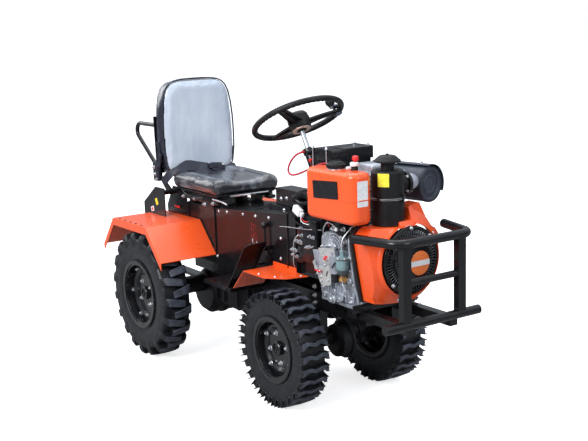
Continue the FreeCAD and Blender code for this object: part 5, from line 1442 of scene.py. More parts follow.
def governor():
    """Governor plates with their slot, lever, springs and screws."""
    mesh = bmesh.new()
    slab(mesh, [(-0.598, 0.724), (-0.700, 0.737), (-0.712, 0.730), (-0.716, 0.712), (-0.713, 0.652), (-0.676, 0.640),
                (-0.640, 0.650), (-0.629, 0.664), (-0.627, 0.684), (-0.613, 0.703)], -0.2035, 0.003)
    slab(mesh, [(-0.596, 0.650), (-0.680, 0.650), (-0.678, 0.584), (-0.662, 0.576), (-0.612, 0.572), (-0.601, 0.580),
                (-0.592, 0.598)], -0.2005, 0.003)
    block(mesh, (0.006, 0.112, 0.003), moved((-0.2015, -0.652, 0.7325)) @ Matrix.Rotation(-0.13, 4, "X"), 0.0006)
    piece("governor_plates", mesh, "pale_plate", smooth=False)
    # dull black sheet over the plate's slot: painted shade for the opening
    drawn("governor_slot", "dull_black", slab, [(-0.654, 0.638), (-0.661, 0.636), (-0.651, 0.614), (-0.644, 0.616)],
          -0.2033, 0.0009, smooth=False)
    mesh = bmesh.new()
    slab(mesh, [(-0.560, 0.662), (-0.570, 0.672), (-0.578, 0.668), (-0.582, 0.650), (-0.600, 0.640), (-0.618, 0.640),
                (-0.618, 0.630), (-0.596, 0.628), (-0.574, 0.640)], -0.2075, 0.003)
    slab(mesh, [(-0.634, 0.652), (-0.644, 0.658), (-0.676, 0.674), (-0.672, 0.682), (-0.638, 0.676), (-0.622, 0.680),
                (-0.620, 0.672)],
         -0.2075, 0.003)
    piece("governor_levers", mesh, "zinc", smooth=False)
    mesh = bmesh.new()
    for start, end, turns, radius in (((-0.2125, -0.586, 0.640), (-0.2125, -0.622, 0.628), 9, 0.0042),
                                      ((-0.2125, -0.590, 0.618), (-0.2125, -0.624, 0.640), 8, 0.0036)):
        start, end = Vector(start), Vector(end)
        way = (end - start).normalized()
        side = way.orthogonal().normalized()
        up = way.cross(side)
        path = [start.lerp(end, i / (turns * 10)) + side * radius * math.cos(i * math.pi / 5)
                + up * radius * math.sin(i * math.pi / 5)
                for i in range(turns * 10 + 1)]
        tube(mesh, [start - way * 0.012] + path + [end + way * 0.012], 0.0009, 6)
    piece("governor_springs", mesh, "zinc")
    drawn("governor_spring_sleeve", "signal_red", tube, [(-0.2125, -0.585, 0.633), (-0.2125, -0.622, 0.630)], 0.0055,
          12)
    places = [((-0.2065, y, z), -X) for y, z in ((-0.664, 0.690), (-0.640, 0.700), (-0.690, 0.668), (-0.646, 0.662))]
    places += [((-0.2035, y, z), -X) for y, z in ((-0.610, 0.606), (-0.664, 0.600), (-0.616, 0.588))]
    bolts("governor_screws", places, "zinc", across=0.009, height=0.005)
    nut = bmesh.new()
    hex_head(nut, Vector((-0.2065, -0.656, 0.692)), -X, across=0.014, height=0.009)
    piece("governor_stop", nut, "signal_red")


def crankcase_castings():
    """Cast ribs, bosses and covers on the crankcase's right side."""
    mesh = bmesh.new()
    centre = Vector((-0.1885, -0.690, 0.742))
    for radius, thick in ((0.058, 0.0028), (0.044, 0.0024), (0.030, 0.0024)):
        arc = [centre + Vector((0, -radius * math.cos(math.radians(a)),
                                radius * math.sin(math.radians(a)))) for a in range(-10, 191, 8)]
        tube(mesh, arc, thick, 8)
    for a in range(10, 180, 20):
        way = Vector((0, -math.cos(math.radians(a)), math.sin(math.radians(a))))
        tube(mesh, [centre + way * 0.016, centre + way * 0.060], 0.0019, 6)
    spin(mesh, [(0, -0.002), (0.016, -0.002), (0.016, 0.004), (0.012, 0.008), (0, 0.008)], aim(centre, -X), 24)
    # lower panels with their raised frames
    for y0, y1, z0, z1 in ((-0.630, -0.682, 0.528, 0.566), (-0.692, -0.744, 0.536, 0.578),
                           (-0.752, -0.792, 0.538, 0.590)):
        for a, b in (((y0, z0), (y1, z0 + 0.006)), ((y0, z1), (y1, z1 + 0.006)), ((y0, z0), (y0, z1)),
                     ((y1, z0 + 0.006), (y1, z1 + 0.006))):
            tube(mesh, [(-0.1705, *a), (-0.1705, *b)], 0.0034, 6)
    for k in range(4):
        y = -0.757 - 0.009 * k
        tube(mesh, [(-0.172, y, 0.540), (-0.172, y - 0.001, 0.588)], 0.0026, 6)
    for y, z, radius, tall in ((-0.605, 0.527, 0.013, 0.004), (-0.711, 0.534, 0.020, 0.004),
                               (-0.661, 0.548, 0.012, 0.006),
                               (-0.735, 0.562, 0.011, 0.007), (-0.775, 0.612, 0.014, 0.010),
                               (-0.640, 0.712, 0.012, 0.006)):
        x = -0.178 if z < 0.54 else (-0.199 if z > 0.7 else -0.171)
        spin(mesh, [(0, -0.003), (radius, -0.003), (radius, tall), (radius * 0.8, tall + 0.002),
                    (radius * 0.45, tall + 0.002),
                    (radius * 0.42, tall - 0.002), (0, tall - 0.002)], aim(Vector((x, y, z)), -X), 20)
    tube(mesh, [(-0.172, -0.664, 0.530), (-0.174, -0.684, 0.546), (-0.174, -0.704, 0.551), (-0.174, -0.724, 0.548),
                (-0.172, -0.742, 0.534)], 0.004, 8)
    tube(mesh, [(-0.160, -0.753, 0.792), (-0.166, -0.760, 0.768), (-0.171, -0.768, 0.730), (-0.171, -0.784, 0.668),
                (-0.171, -0.796, 0.604), (-0.160, -0.800, 0.550), (-0.154, -0.800, 0.520)], 0.0055, 8)
    block(mesh, (0.010, 0.014, 0.062), moved((-0.173, -0.620, 0.538)), 0.002)
    block(mesh, (0.008, 0.046, 0.016), moved((-0.173, -0.598, 0.508)), 0.002)
    piece("crankcase_ribs", mesh, "cast_alloy")
    places = [((x, y, z), -X) for x, y,
              z in ((-0.1895, -0.638, 0.741), (-0.1895, -0.654, 0.7445), (-0.1895, -0.745, 0.756),
              (-0.1895, -0.735, 0.790), (-0.171, -0.772, 0.655), (-0.176, -0.778, 0.706), (-0.171, -0.795, 0.600),
              (-0.171, -0.625, 0.556),
              (-0.171, -0.690, 0.512), (-0.171, -0.772, 0.522), (-0.156, -0.560, 0.722), (-0.171, -0.586, 0.552))]
    bolts("crankcase_bolts", places, "zinc", across=0.010, height=0.006)
    drawn("drain_plug", "pale_steel", spin,
          [(0.019, -0.004), (0.019, 0.004), (0.016, 0.006), (0.012, 0.006), (0.012, 0.016), (0.010, 0.018), (0, 0.018)],
          aim(Vector((-0.178, -0.656, 0.513)), -X), 24)
    drawn("case_boss_ring", "zinc", spin,
          [(0.007, 0), (0.007, 0.002), (0.0125, 0.002), (0.0125, 0.006), (0.007, 0.007)],
          aim(Vector((-0.183, -0.605, 0.527)), -X), 20)


def fuel_pump():
    """Pump with its clear bowl, brass union, filter and lines."""
    centre = Vector((-0.196, -0.752, 0))
    mesh = bmesh.new()
    spin(mesh, [(0, 0.655), (0.020, 0.656), (0.026, 0.664), (0.028, 0.674), (0.028, 0.700), (0.030, 0.702),
                (0.030, 0.708),
                (0.024, 0.712), (0.016, 0.716), (0.010, 0.720), (0.010, 0.738), (0.007, 0.741), (0, 0.741)],
                moved(centre), 32)
    block(mesh, (0.016, 0.030, 0.012), moved(centre + Vector((-0.012, 0.018, 0.696))), 0.003)
    piece("pump_body", mesh, "pump_blue")
    mesh = bmesh.new()
    spin(mesh, [(0, 0.634), (0.014, 0.635), (0.022, 0.641), (0.025, 0.650), (0.025, 0.660), (0, 0.660)], moved(centre),
         8)
    spin(mesh, [(0.0305, 0.704), (0.0315, 0.705), (0.0315, 0.707), (0.0305, 0.708)], moved(centre), 32)
    piece("pump_bowl", mesh, "dark_glass")
    places = [(centre + Vector((-0.029 * math.cos(t), -0.029 * math.sin(t), 0.709)), Z) for t in (0.3, 1.3, 2.5)]
    bolts("pump_screws", places, "zinc", across=0.008, height=0.004)
    mesh = bmesh.new()
    at = Vector((-0.172, -0.733, 0.615))
    way = Vector((-1, -0.35, 0.05)).normalized()
    spin(mesh, [(0.017, 0), (0.017, 0.010), (0.013, 0.012), (0.013, 0.020), (0.010, 0.022), (0.010, 0.030),
                (0.006, 0.031), (0, 0.031)],
         aim(at, way), 6)
    spin(mesh, [(0.0195, 0.002), (0.0205, 0.004), (0.0195, 0.006)], aim(at, way), 20)
    block(mesh, (0.014, 0.020, 0.010), moved(at + Vector((-0.010, 0.016, 0.016))), 0.003)
    piece("pump_union", mesh, "brass")
    mesh = bmesh.new()
    spin(mesh, [(0, 0), (0.013, 0), (0.015, 0.004), (0.015, 0.034), (0.011, 0.038), (0.007, 0.046), (0, 0.046)],
         moved((-0.196, -0.700, 0.598)), 14)
    block(mesh, (0.018, 0.020, 0.014), moved((-0.198, -0.704, 0.640)), 0.003)
    piece("pump_filter", mesh, "dull_black")
    for name, points, radius, finish in (
            ("fuel_line_a", [(-0.196, -0.752, 0.738), (-0.198, -0.752, 0.760), (-0.190, -0.752, 0.790),
                             (-0.165, -0.760, 0.820), (-0.140, -0.770, 0.850)], 0.0032, "pale_steel"),
            ("fuel_line_b", [(-0.150, -0.575, 0.735), (-0.160, -0.578, 0.768), (-0.172, -0.590, 0.800),
                             (-0.176, -0.620, 0.832), (-0.174, -0.650, 0.833), (-0.168, -0.683, 0.812)], 0.0028,
                             "pale_steel"),
            ("fuel_line_c", [(-0.196, -0.700, 0.646), (-0.214, -0.706, 0.664), (-0.206, -0.722, 0.690),
                             (-0.198, -0.726, 0.700)], 0.0034, "dull_black"),
            ("fuel_line_d", [(-0.190, -0.745, 0.616), (-0.206, -0.764, 0.600), (-0.196, -0.778, 0.574),
                             (-0.178, -0.782, 0.556)], 0.003, "pale_steel"),
            ("lead_a", [(-0.140, -0.664, 0.828), (-0.160, -0.700, 0.846), (-0.150, -0.740, 0.846),
                        (-0.132, -0.775, 0.836)], 0.003, "gloss_trim"),
            ("lead_b", [(-0.120, -0.560, 0.800), (-0.150, -0.590, 0.838), (-0.152, -0.640, 0.850),
                        (-0.140, -0.690, 0.846)], 0.0022, "signal_red"),
            ("lead_c", [(-0.118, -0.540, 0.780), (-0.140, -0.560, 0.760), (-0.152, -0.566, 0.730),
                        (-0.154, -0.560, 0.690)], 0.0022, "gloss_trim")):
        hose(name, points, radius, finish)
    mesh = bmesh.new()
    for place, size, turn in (((-0.150, -0.700, 0.806), (0.030, 0.058, 0.038), 0.1),
                              ((-0.140, -0.728, 0.784), (0.020, 0.040, 0.020), 0.3),
                              ((-0.150, -0.656, 0.812), (0.020, 0.022, 0.016), -0.2)):
        block(mesh, size, moved(place) @ Matrix.Rotation(turn, 4, "X"), 0.004)
    piece("injector_block", mesh, "dull_black")
    places = [((-0.166, -0.652, 0.812), -X), ((-0.166, -0.668, 0.813), -X), ((-0.167, -0.728, 0.820), -X),
              ((-0.160, -0.704, 0.772), -X),
              ((-0.164, -0.716, 0.760), -X), ((-0.168, -0.742, 0.768), -X)]
    bolts("injector_unions", places, "zinc", across=0.013, height=0.010)
    drawn("injector_cap", "chalk", spin,
          [(0, 0), (0.008, 0), (0.008, 0.016), (0.006, 0.018), (0.006, 0.026), (0, 0.026)],
          aim((-0.158, -0.672, 0.810), Vector((-1, -0.7, 0.2))), 12)
    drawn("rocker_breather", "brass", spin, [(0, 0), (0.007, 0), (0.007, 0.020), (0.005, 0.026), (0, 0.026)],
          aim((-0.150, -0.786, 0.834), Vector((-0.6, -0.6, 0.5))), 12)


# Body, console and panels

def panel_fittings():
    """Bolts, blank marks, wiring and rods on the right side of the body."""
    places = []
    for y, z in ((0.320, 0.752), (0.241, 0.758), (0.092, 0.767), (-0.020, 0.774), (-0.133, 0.782), (-0.229, 0.701),
                 (-0.224, 0.607), (0.352, 0.520)):
        point, _ = hit("body_side_panels", (-0.5, y, z), X)
        if point:
            places.append((point, -X))
    bolts("panel_bolts_right", places, "zinc", head=dome_head, radius=0.0065)
    bolts("panel_bolts_left", [(Vector((-p.x, p.y, p.z)), X) for p, _ in places], "zinc", head=dome_head, radius=0.0065)
    places = [((-0.0455, -0.084, 0.852), -X), ((-0.0455, -0.130, 0.859), -X), ((-0.0455, -0.110, 0.806), -X),
              ((-0.0455, -0.108, 0.786), -X)]
    bolts("console_bolts", places, "zinc", head=dome_head, radius=0.0075)
    random.seed(5)
    mesh = bmesh.new()
    for k in range(26):
        y = 0.018 - 0.019 * (k % 3) + random.uniform(-0.002, 0.002)
        z = 0.735 - 0.0035 * k
        block(mesh, (0.0006, random.uniform(0.004, 0.012), 0.0016), moved((-0.1505, y, z)), 0)
    piece("panel_mark_red", mesh, "signal_red", smooth=False)
    mesh = bmesh.new()
    block(mesh, (0.0006, 0.014, 0.004), moved((-0.1505, -0.004, 0.640)), 0)
    block(mesh, (0.0006, 0.004, 0.020), moved((-0.1505, 0.012, 0.652)), 0)
    block(mesh, (0.0006, 0.004, 0.016), moved((-0.1505, -0.024, 0.648)), 0)
    piece("panel_mark_white", mesh, "chalk", smooth=False)
    mesh = bmesh.new()
    place = moved((-0.146, -0.366, 0.846)) @ Matrix.Rotation(0.45, 4, "X")
    block(mesh, (0.024, 0.052, 0.032), place, 0.003)
    for k in range(3):
        block(mesh, (0.003, 0.040, 0.004), place @ moved((-0.0125, 0, -0.010 + 0.010 * k)), 0.0008)
    block(mesh, (0.014, 0.018, 0.022), place @ moved((0, -0.033, 0)), 0.002)
    piece("wiring_connector", mesh, "chalk")
    for name, points, radius, finish in (
            ("wire_red", [(-0.144, -0.392, 0.833), (-0.150, -0.402, 0.815), (-0.148, -0.430, 0.806),
                          (-0.130, -0.470, 0.812), (-0.120, -0.500, 0.790)], 0.0022, "signal_red"),
            ("wire_pale", [(-0.144, -0.388, 0.828), (-0.152, -0.398, 0.806), (-0.150, -0.436, 0.796),
                           (-0.130, -0.480, 0.798)], 0.002, "chalk"),
            ("wire_black_a", [(-0.142, -0.344, 0.830), (-0.156, -0.352, 0.806), (-0.156, -0.392, 0.792),
                              (-0.150, -0.444, 0.786), (-0.128, -0.500, 0.796)], 0.003, "gloss_trim"),
            ("wire_black_b", [(-0.130, -0.330, 0.838), (-0.152, -0.346, 0.800), (-0.150, -0.402, 0.782),
                              (-0.146, -0.450, 0.778), (-0.128, -0.505, 0.770)], 0.0026, "gloss_trim"),
            ("wire_black_c", [(-0.050, -0.235, 0.850), (-0.100, -0.280, 0.840), (-0.135, -0.330, 0.842)], 0.004,
             "gloss_trim"),
            ("speed_cable", [(-0.128, -0.372, 0.752), (-0.152, -0.366, 0.735), (-0.157, -0.347, 0.712),
                             (-0.157, -0.340, 0.672), (-0.156, -0.336, 0.610), (-0.148, -0.336, 0.585)], 0.0024,
                             "pale_steel"),
            ("choke_rod", [(-0.154, -0.230, 0.757), (-0.155, -0.298, 0.764), (-0.155, -0.369, 0.769),
                           (-0.150, -0.450, 0.775), (-0.130, -0.520, 0.780)], 0.0017, "pale_steel"),
            ("return_rod", [(-0.128, -0.400, 0.700), (-0.150, -0.430, 0.690), (-0.150, -0.470, 0.700),
                            (-0.130, -0.500, 0.720)], 0.003, "pale_steel")):
        hose(name, points, radius, finish)
    mesh = bmesh.new()
    for place, size, turn in (((-0.140, -0.372, 0.708), (0.024, 0.052, 0.018), 0.05),
                              ((-0.142, -0.332, 0.664), (0.022, 0.050, 0.014), 0.0),
                              ((-0.136, -0.445, 0.700), (0.020, 0.044, 0.024), 0.3),
                              ((-0.134, -0.480, 0.742), (0.018, 0.022, 0.022), 0.0)):
        block(mesh, size, moved(place) @ Matrix.Rotation(turn, 4, "X"), 0.004)
    piece("link_clamps", mesh, "pale_steel")
    places = [((-0.150, y, z), -X) for y,
              z in ((-0.399, 0.741), (-0.386, 0.712), (-0.356, 0.712), (-0.343, 0.668), (-0.324, 0.668),
                    (-0.330, 0.646),
                                                (-0.460, 0.746), (-0.436, 0.694), (-0.456, 0.700), (-0.486, 0.744),
                                                (-0.397, 0.776), (-0.358, 0.640))]
    bolts("link_nuts", places, "pale_steel", across=0.011, height=0.008)
    mesh = bmesh.new()
    block(mesh, (0.022, 0.150, 0.150), moved((-0.137, -0.430, 0.700)), 0.004)
    block(mesh, (0.020, 0.060, 0.050), moved((-0.137, -0.470, 0.790)), 0.004)
    block(mesh, (0.014, 0.010, 0.250), moved((-0.148, -0.286, 0.700)), 0.002)
    block(mesh, (0.018, 0.080, 0.030), moved((-0.140, -0.356, 0.630)), 0.004)
    piece("link_bracket", mesh, "black_steel")
    # corrugated boot from the console to the tank side, and the strut beneath it
    path = smooth_path([(-0.052, -0.215, 0.868), (-0.060, -0.245, 0.882), (-0.070, -0.285, 0.898),
                        (-0.080, -0.335, 0.908), (-0.092, -0.385, 0.900)], 12)
    mesh = bmesh.new()
    tube(mesh, path, 0.016, 20)
    for point, after in list(zip(path, path[1:]))[::3]:
        ring(mesh, aim(point, after - point), 0.0168, 0.0028, 20, 6)
    piece("air_boot", mesh, "black_plastic")
    hose("boot_hose", [(-0.050, -0.190, 0.872), (-0.070, -0.250, 0.866), (-0.085, -0.310, 0.862),
                       (-0.095, -0.390, 0.880)], 0.010, "gloss_trim")
    drawn("console_flange", "black_steel", block, (0.006, 0.178, 0.048), moved((-0.056, -0.088, 0.798)), 0.0015)
    places = [((-0.0595, -0.127, 0.806), -X), ((-0.0595, -0.126, 0.787), -X)]
    bolts("flange_bolts", places, "zinc", head=dome_head, radius=0.007)


def fender_fittings():
    """Bolts and small fittings of the fenders, and dull black domes in the rear fenders' holes as painted shade."""
    places, holes = [], []
    for side, sign in (("right", -1), ("left", 1)):
        for x, y in ((0.293, -0.262), (0.269, -0.355), (0.173, -0.416), (0.455, -0.398)):
            point, _ = hit(f"front_fender_{side}", (sign * x, y, 0.8), -Z)
            if point:
                places.append((point, Z))
        low, high = box(f"rear_fender_{side}")
        for k in range(5):
            y = low.y + 0.215 + 0.062 * k
            point, _ = hit(f"rear_fender_{side}", (sign * (abs(high.x) if sign > 0 else abs(low.x)) * 0.975, y, 1.1),
                           -Z)
            if point:
                holes.append((point, Z))
    # dull black domes where the rear fenders have open holes: painted shade for the dark inside the holes
    bolts("fender_holes", holes, "dull_black", head=dome_head, radius=0.0045)
    bolts("fender_bolts", places, "zinc", head=dome_head, radius=0.005)
    places = [(Vector((-0.089, y, z)), -X) for y, z in ((-0.40, 0.502), (-0.40, 0.462), (-0.40, 0.428))]
    bolts("frame_bolts", places, "zinc", across=0.014, height=0.008)


def bumper_fittings():
    """Weld beads where the tubes of the guard meet."""
    mesh = bmesh.new()
    for x in (-0.130, 0.130):
        for z, lean in ((0.813, -1), (0.500, 1), (0.655, 0)):
            point, _ = hit("bumper", (x, -1.4, z), Y)
            if point:
                path = [point + Vector((0.021 * math.cos(t), 0.004,
                                        0.010 * lean + 0.002 * math.sin(3 * t)))
                        for t in [math.pi * k / 8 for k in range(9)]]
                tube(mesh, path, 0.0028, 6)
    if mesh.verts:
        piece("bumper_welds", mesh, "black_steel")
    else:
        mesh.free()


def webbing():
    """Dark blue-black seat-belt webbing with its fine ribs."""
    s = Surface("webbing", (0.016, 0.018, 0.030), 0.55)
    s.bump(s.cells(900, stretch=(1.0, 0.25, 1.0)), 0.0004, 0.6)
    s.link(s.tint(s.noise(40, 4), (0.012, 0.013, 0.022), (0.040, 0.045, 0.065)), "Base Color")
    s.link(s.between(s.noise(30, 4), 0.3, 0.7, 0.35, 0.65), "Roughness")
    return s.material


def steering():
    """Steering wheel with a waved grip, wide tapered spokes, a deep hub and a spinner knob."""
    joint = JOINTS["steering_wheel_turn"]
    axis = Vector(joint["axis"]).normalized()
    down = Vector((0, axis.z, -axis.y))
    centre = Vector(joint["pos_m"])
    _, high = box("steering_wheel")
    rim = 0.0140
    radius = high.x - rim

    def at(r, angle, h=0.0):
        a = math.radians(angle)
        return centre + X * (r * math.cos(a)) + down * (r * math.sin(a)) + axis * h

    mesh = bmesh.new()
    rows = []
    for k in range(432):
        angle = k * 360 / 432
        row = []
        for j in range(18):
            b = 2 * math.pi * j / 18
            under = max(0.0, math.cos(b - math.radians(215)))
            r = rim * (1 - 0.16 * under * (0.5 - 0.5 * math.cos(math.radians(54 * angle))))
            row.append(mesh.verts.new(at(radius + r * math.cos(b), angle, r * math.sin(b))))
        rows.append(row)
    for row, after in zip(rows, rows[1:] + rows[:1]):
        for j in range(18):
            mesh.faces.new((row[j], row[(j + 1) % 18], after[(j + 1) % 18], after[j]))
    for angle in (98, 218, 338):
        turn = math.radians(angle)
        out = X * math.cos(turn) + down * math.sin(turn)
        side = axis.cross(out)
        for near, far, near_half, far_half, top, bottom in ((0.040, radius - 0.004, 0.031, 0.017, -0.006, -0.013),
                                                            (0.040, radius - 0.006, 0.007, 0.005, -0.012, -0.026)):
            rings = []
            for i in range(9):
                t = i / 8
                half = near_half + (far_half - near_half) * t ** 0.7
                drop = -0.012 * (1 - t) ** 2
                lower = bottom * (1 - 0.35 * t) if near_half < 0.01 else bottom
                base = centre + out * (near + (far - near) * t) + axis * drop
                rings.append([base + side * half + axis * top, base - side * half + axis * top,
                              base - side * (half * 0.94) + axis * lower, base + side * (half * 0.94) + axis * lower])
            lofted(mesh, rings)
        for sign in (1, -1):
            lip = [centre + out * (near + (far - near) * t) + side * sign * (0.030 - 0.0135 * t ** 0.7)
                   + axis * (-0.014 - 0.012 * (1 - t) ** 2)
                   for t in (i / 8 for i in range(9))]
            tube(mesh, lip, 0.0035, 6)
    spin(mesh, [(0, 0.030), (0.026, 0.029), (0.040, 0.024), (0.0475, 0.014), (0.0490, 0.004), (0.0475, 0.003),
                (0.0475, 0.000),
                (0.0510, -0.001), (0.0520, -0.012), (0.0490, -0.046), (0.0440, -0.053), (0.036, -0.054),
                (0.034, -0.050), (0, -0.050)],
         aim(centre, axis), 48)
    obj = piece("steering_grip", mesh, "wheel_plastic", body="steering_wheel", slot="black_plastic")
    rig.replaces(obj, "steering_wheel")
    drawn("steering_hub_ring", "copper_ring", spin,
          [(0.034, -0.052), (0.0435, -0.0535), (0.0435, -0.0575), (0.026, -0.0585), (0.024, -0.0575), (0.024, -0.052)],
          aim(centre, axis), 40, body="steering_wheel")
    drawn("steering_hub_nut", "dull_black", spin,
          [(0.0185, -0.050), (0.0185, -0.062), (0.0165, -0.064), (0.011, -0.064)], aim(centre, axis), 6,
          body="steering_wheel")
    mesh = bmesh.new()
    foot = -0.432
    spin(mesh, [(0, foot), (0.011, foot), (0.011, -0.052), (0, -0.052)], aim(centre, axis), 24)
    piece("steering_shaft", mesh, "shaft_steel", body="steering_wheel")
    drawn("spinner_knob", "wheel_plastic", spin,
          [(0, 0.058), (0.014, 0.057), (0.0205, 0.050), (0.0225, 0.040), (0.020, 0.028), (0.014, 0.021), (0.012, 0.014),
           (0, 0.014)], aim(at(0.166, 336), axis), 28, body="steering_wheel")
    mesh = bmesh.new()
    block(mesh, (0.040, 0.034, 0.010), aim(at(0.188, 340, 0.017), axis, math.radians(0)), 0.003)
    block(mesh, (0.034, 0.030, 0.012), aim(at(0.190, 342, -0.018), axis), 0.003)
    spin(mesh, [(0, -0.026), (0.007, -0.026), (0.007, 0.016), (0, 0.016)], aim(at(0.182, 343), axis), 12)
    spin(mesh, [(0, 0.008), (0.010, 0.008), (0.010, 0.022), (0, 0.022)], aim(at(0.166, 336), axis), 16)
    piece("spinner_clamp", mesh, "clamp_grey", body="steering_wheel")


def wheel_plastic():
    """Grained black plastic of the steering wheel, a little paler in random patches."""
    s = Surface("wheel_plastic", (0.011, 0.010, 0.011), 0.42)
    s.link(s.tint(s.between(s.noise(60, 5), 0.45, 0.75), (0.010, 0.010, 0.011), (0.024, 0.024, 0.027)), "Base Color")
    s.link(s.between(s.noise(45, 4), 0.3, 0.7, 0.34, 0.52), "Roughness")
    s.bump(s.cells(700), 0.0003, 0.5)
    s.bump(s.noise(300, 3), 0.0002, 0.4)
    return s.material


def ribbon(mesh, edges, thick):
    """Flat strap through pairs of edge points, with its own thickness."""
    pairs = [(Vector(a), Vector(b)) for a, b in edges]
    fine = []
    ups, lows = smooth_path([a for a, _ in pairs], 6), smooth_path([b for _, b in pairs], 6)
    for i, (a, b) in enumerate(zip(ups, lows)):
        nexta = ups[min(i + 1, len(ups) - 1)]
        lasta = ups[max(i - 1, 0)]
        out = (nexta - lasta).cross(a - b).normalized() * (thick / 2)
        fine.append([a + out, b + out, b - out, a - out])
    lofted(mesh, fine)


def belts():
    """Lap belt lying over the seat, its buckle, and the holders beside the backrest."""
    mesh = bmesh.new()
    ribbon(mesh, [((-0.214, 0.800, 0.862), (-0.208, 0.775, 0.828)), ((-0.206, 0.745, 0.908), (-0.202, 0.728, 0.866)),
                  ((-0.165, 0.715, 0.936), (-0.170, 0.700, 0.905)), ((-0.110, 0.712, 0.962), (-0.112, 0.680, 0.912)),
                  ((-0.040, 0.712, 0.950), (-0.040, 0.672, 0.904)), ((0.020, 0.712, 0.936), (0.020, 0.676, 0.900))],
                  0.003)
    ribbon(mesh, [((-0.150, 0.722, 0.915), (-0.150, 0.690, 0.902)), ((-0.060, 0.704, 0.936), (-0.060, 0.664, 0.899)),
                  ((0.020, 0.700, 0.930), (0.020, 0.660, 0.896)), ((0.080, 0.705, 0.922), (0.080, 0.670, 0.894))],
                  0.003)
    ribbon(mesh, [((0.110, 0.716, 0.905), (0.110, 0.690, 0.894)), ((0.160, 0.722, 0.915), (0.160, 0.690, 0.905)),
                  ((0.200, 0.740, 0.915), (0.204, 0.720, 0.890)), ((0.214, 0.790, 0.880), (0.212, 0.770, 0.850))],
                  0.003)
    piece("belt_straps", mesh, "webbing")
    mesh = bmesh.new()
    place = moved((0.060, 0.676, 0.915)) @ Matrix.Rotation(0.10, 4, "Y") @ Matrix.Rotation(-0.45, 4, "X")
    block(mesh, (0.078, 0.022, 0.046), place, 0.004)
    block(mesh, (0.050, 0.026, 0.030), place @ moved((-0.030, 0, 0.004)), 0.004)
    piece("belt_buckle", mesh, "belt_case")
    drawn("belt_button", "pale_steel", block, (0.018, 0.003, 0.012), place @ moved((0.030, -0.0125, 0.012)), 0.001)
    mesh = bmesh.new()
    for side in (-1, 1):
        x = side * 0.214
        block(mesh, (0.020, 0.062, 0.105), moved((x, 0.842, 0.905)) @ Matrix.Rotation(-0.05, 4, "X"), 0.006)
        block(mesh, (0.012, 0.030, 0.110), moved((side * 0.216, 0.800, 1.010)) @ Matrix.Rotation(-0.10, 4, "X"), 0.004)
        block(mesh, (0.010, 0.022, 0.075), moved((side * 0.219, 0.792, 0.965)) @ Matrix.Rotation(0.35, 4, "X"), 0.003)
        tube(mesh, smooth_path([(side * 0.216, 0.828, 0.950), (side * 0.219, 0.812, 1.000),
                                (side * 0.216, 0.806, 1.050)], 5), 0.006, 8)
    piece("belt_holders", mesh, "belt_case")
    places = [((side * 0.2245, y, z), X * side) for side in (-1, 1) for y,
              z in ((0.842, 0.890), (0.852, 0.925), (0.830, 0.862))]
    bolts("belt_bolts", places, "zinc", across=0.012, height=0.007)


def seat_mechanism():
    """Slides, rails, adjuster rod and bolts between the cushion and the body, and blank labels on the gussets."""
    _, high = box("seat_slides")
    mesh = bmesh.new()
    for side in (-1, 1):
        x = side * 0.148
        block(mesh, (0.034, 0.360, 0.010), moved((x, 0.478, high.z - 0.008)), 0.002)
        block(mesh, (0.026, 0.330, 0.012), moved((x, 0.470, high.z - 0.022)), 0.002)
        block(mesh, (0.005, 0.300, 0.026), moved((side * 0.166, 0.500, high.z - 0.036)), 0.001)
        block(mesh, (0.040, 0.050, 0.018), moved((side * 0.150, 0.318, high.z - 0.040)), 0.003)
    block(mesh, (0.300, 0.020, 0.006), moved((0, 0.300, high.z - 0.012)), 0.001)
    block(mesh, (0.352, 0.430, 0.008), moved((0, 0.500, high.z - 0.003)), 0.003)
    piece("seat_rails", mesh, "black_steel")
    mesh = bmesh.new()
    for k in range(3):
        tube(mesh, smooth_path([(-0.168, 0.66 - 0.02 * k, 0.822 - 0.010 * k), (-0.174, 0.60, 0.806 - 0.008 * k),
                                (-0.172, 0.52, 0.800 - 0.006 * k),
                                (-0.168, 0.44, 0.806 - 0.007 * k)], 6), 0.0035, 8)
    piece("seat_harness", mesh, "gloss_trim")
    mesh = bmesh.new()
    tube(mesh, smooth_path([(-0.176, 0.330, 0.812), (-0.176, 0.250, 0.810), (-0.172, 0.200, 0.800)], 5), 0.0042, 8)
    tube(mesh, [(-0.110, 0.262, 0.826), (-0.110, 0.150, 0.848), (-0.110, 0.062, 0.862)], 0.004, 8)
    tube(mesh, [(-0.110, 0.270, 0.826), (0.110, 0.270, 0.826)], 0.004, 8)
    piece("seat_adjuster", mesh, "pale_steel")
    drawn("adjuster_grip", "black_plastic", block, (0.018, 0.050, 0.010),
          moved((-0.110, 0.046, 0.864)) @ Matrix.Rotation(-0.15, 4, "X"), 0.003)
    places = [((-0.171, y, z), -X) for y, z in ((0.335, 0.790), (0.520, 0.792), (0.420, 0.776), (0.640, 0.790))]
    places += [((-p[0], p[1], p[2]), X) for p, _ in places]
    bolts("seat_bolts", places, "zinc", across=0.013, height=0.007)
    for name, y, z, tall, wide, finish, turn in (("label_a", 0.790, 0.752, 0.036, 0.024, "label_yellow", -0.5),
                                                 ("label_b", 0.842, 0.708, 0.026, 0.034, "chalk", -0.25),
                                                 ("label_c", 0.830, 0.664, 0.026, 0.030, "label_green", -0.5)):
        spot, _ = hit("rear_gussets", (-0.6, y, z), X)
        if spot:
            drawn(name, material(finish), block, (0.0012, wide, tall), moved(spot) @ Matrix.Rotation(turn, 4, "X"),
                  0.0004)
            if name == "label_b":
                drawn("label_b_field", "signal_red", block, (0.0014, wide * 0.5, tall * 0.6),
                      moved(spot) @ Matrix.Rotation(turn, 4, "X"), 0.0004)


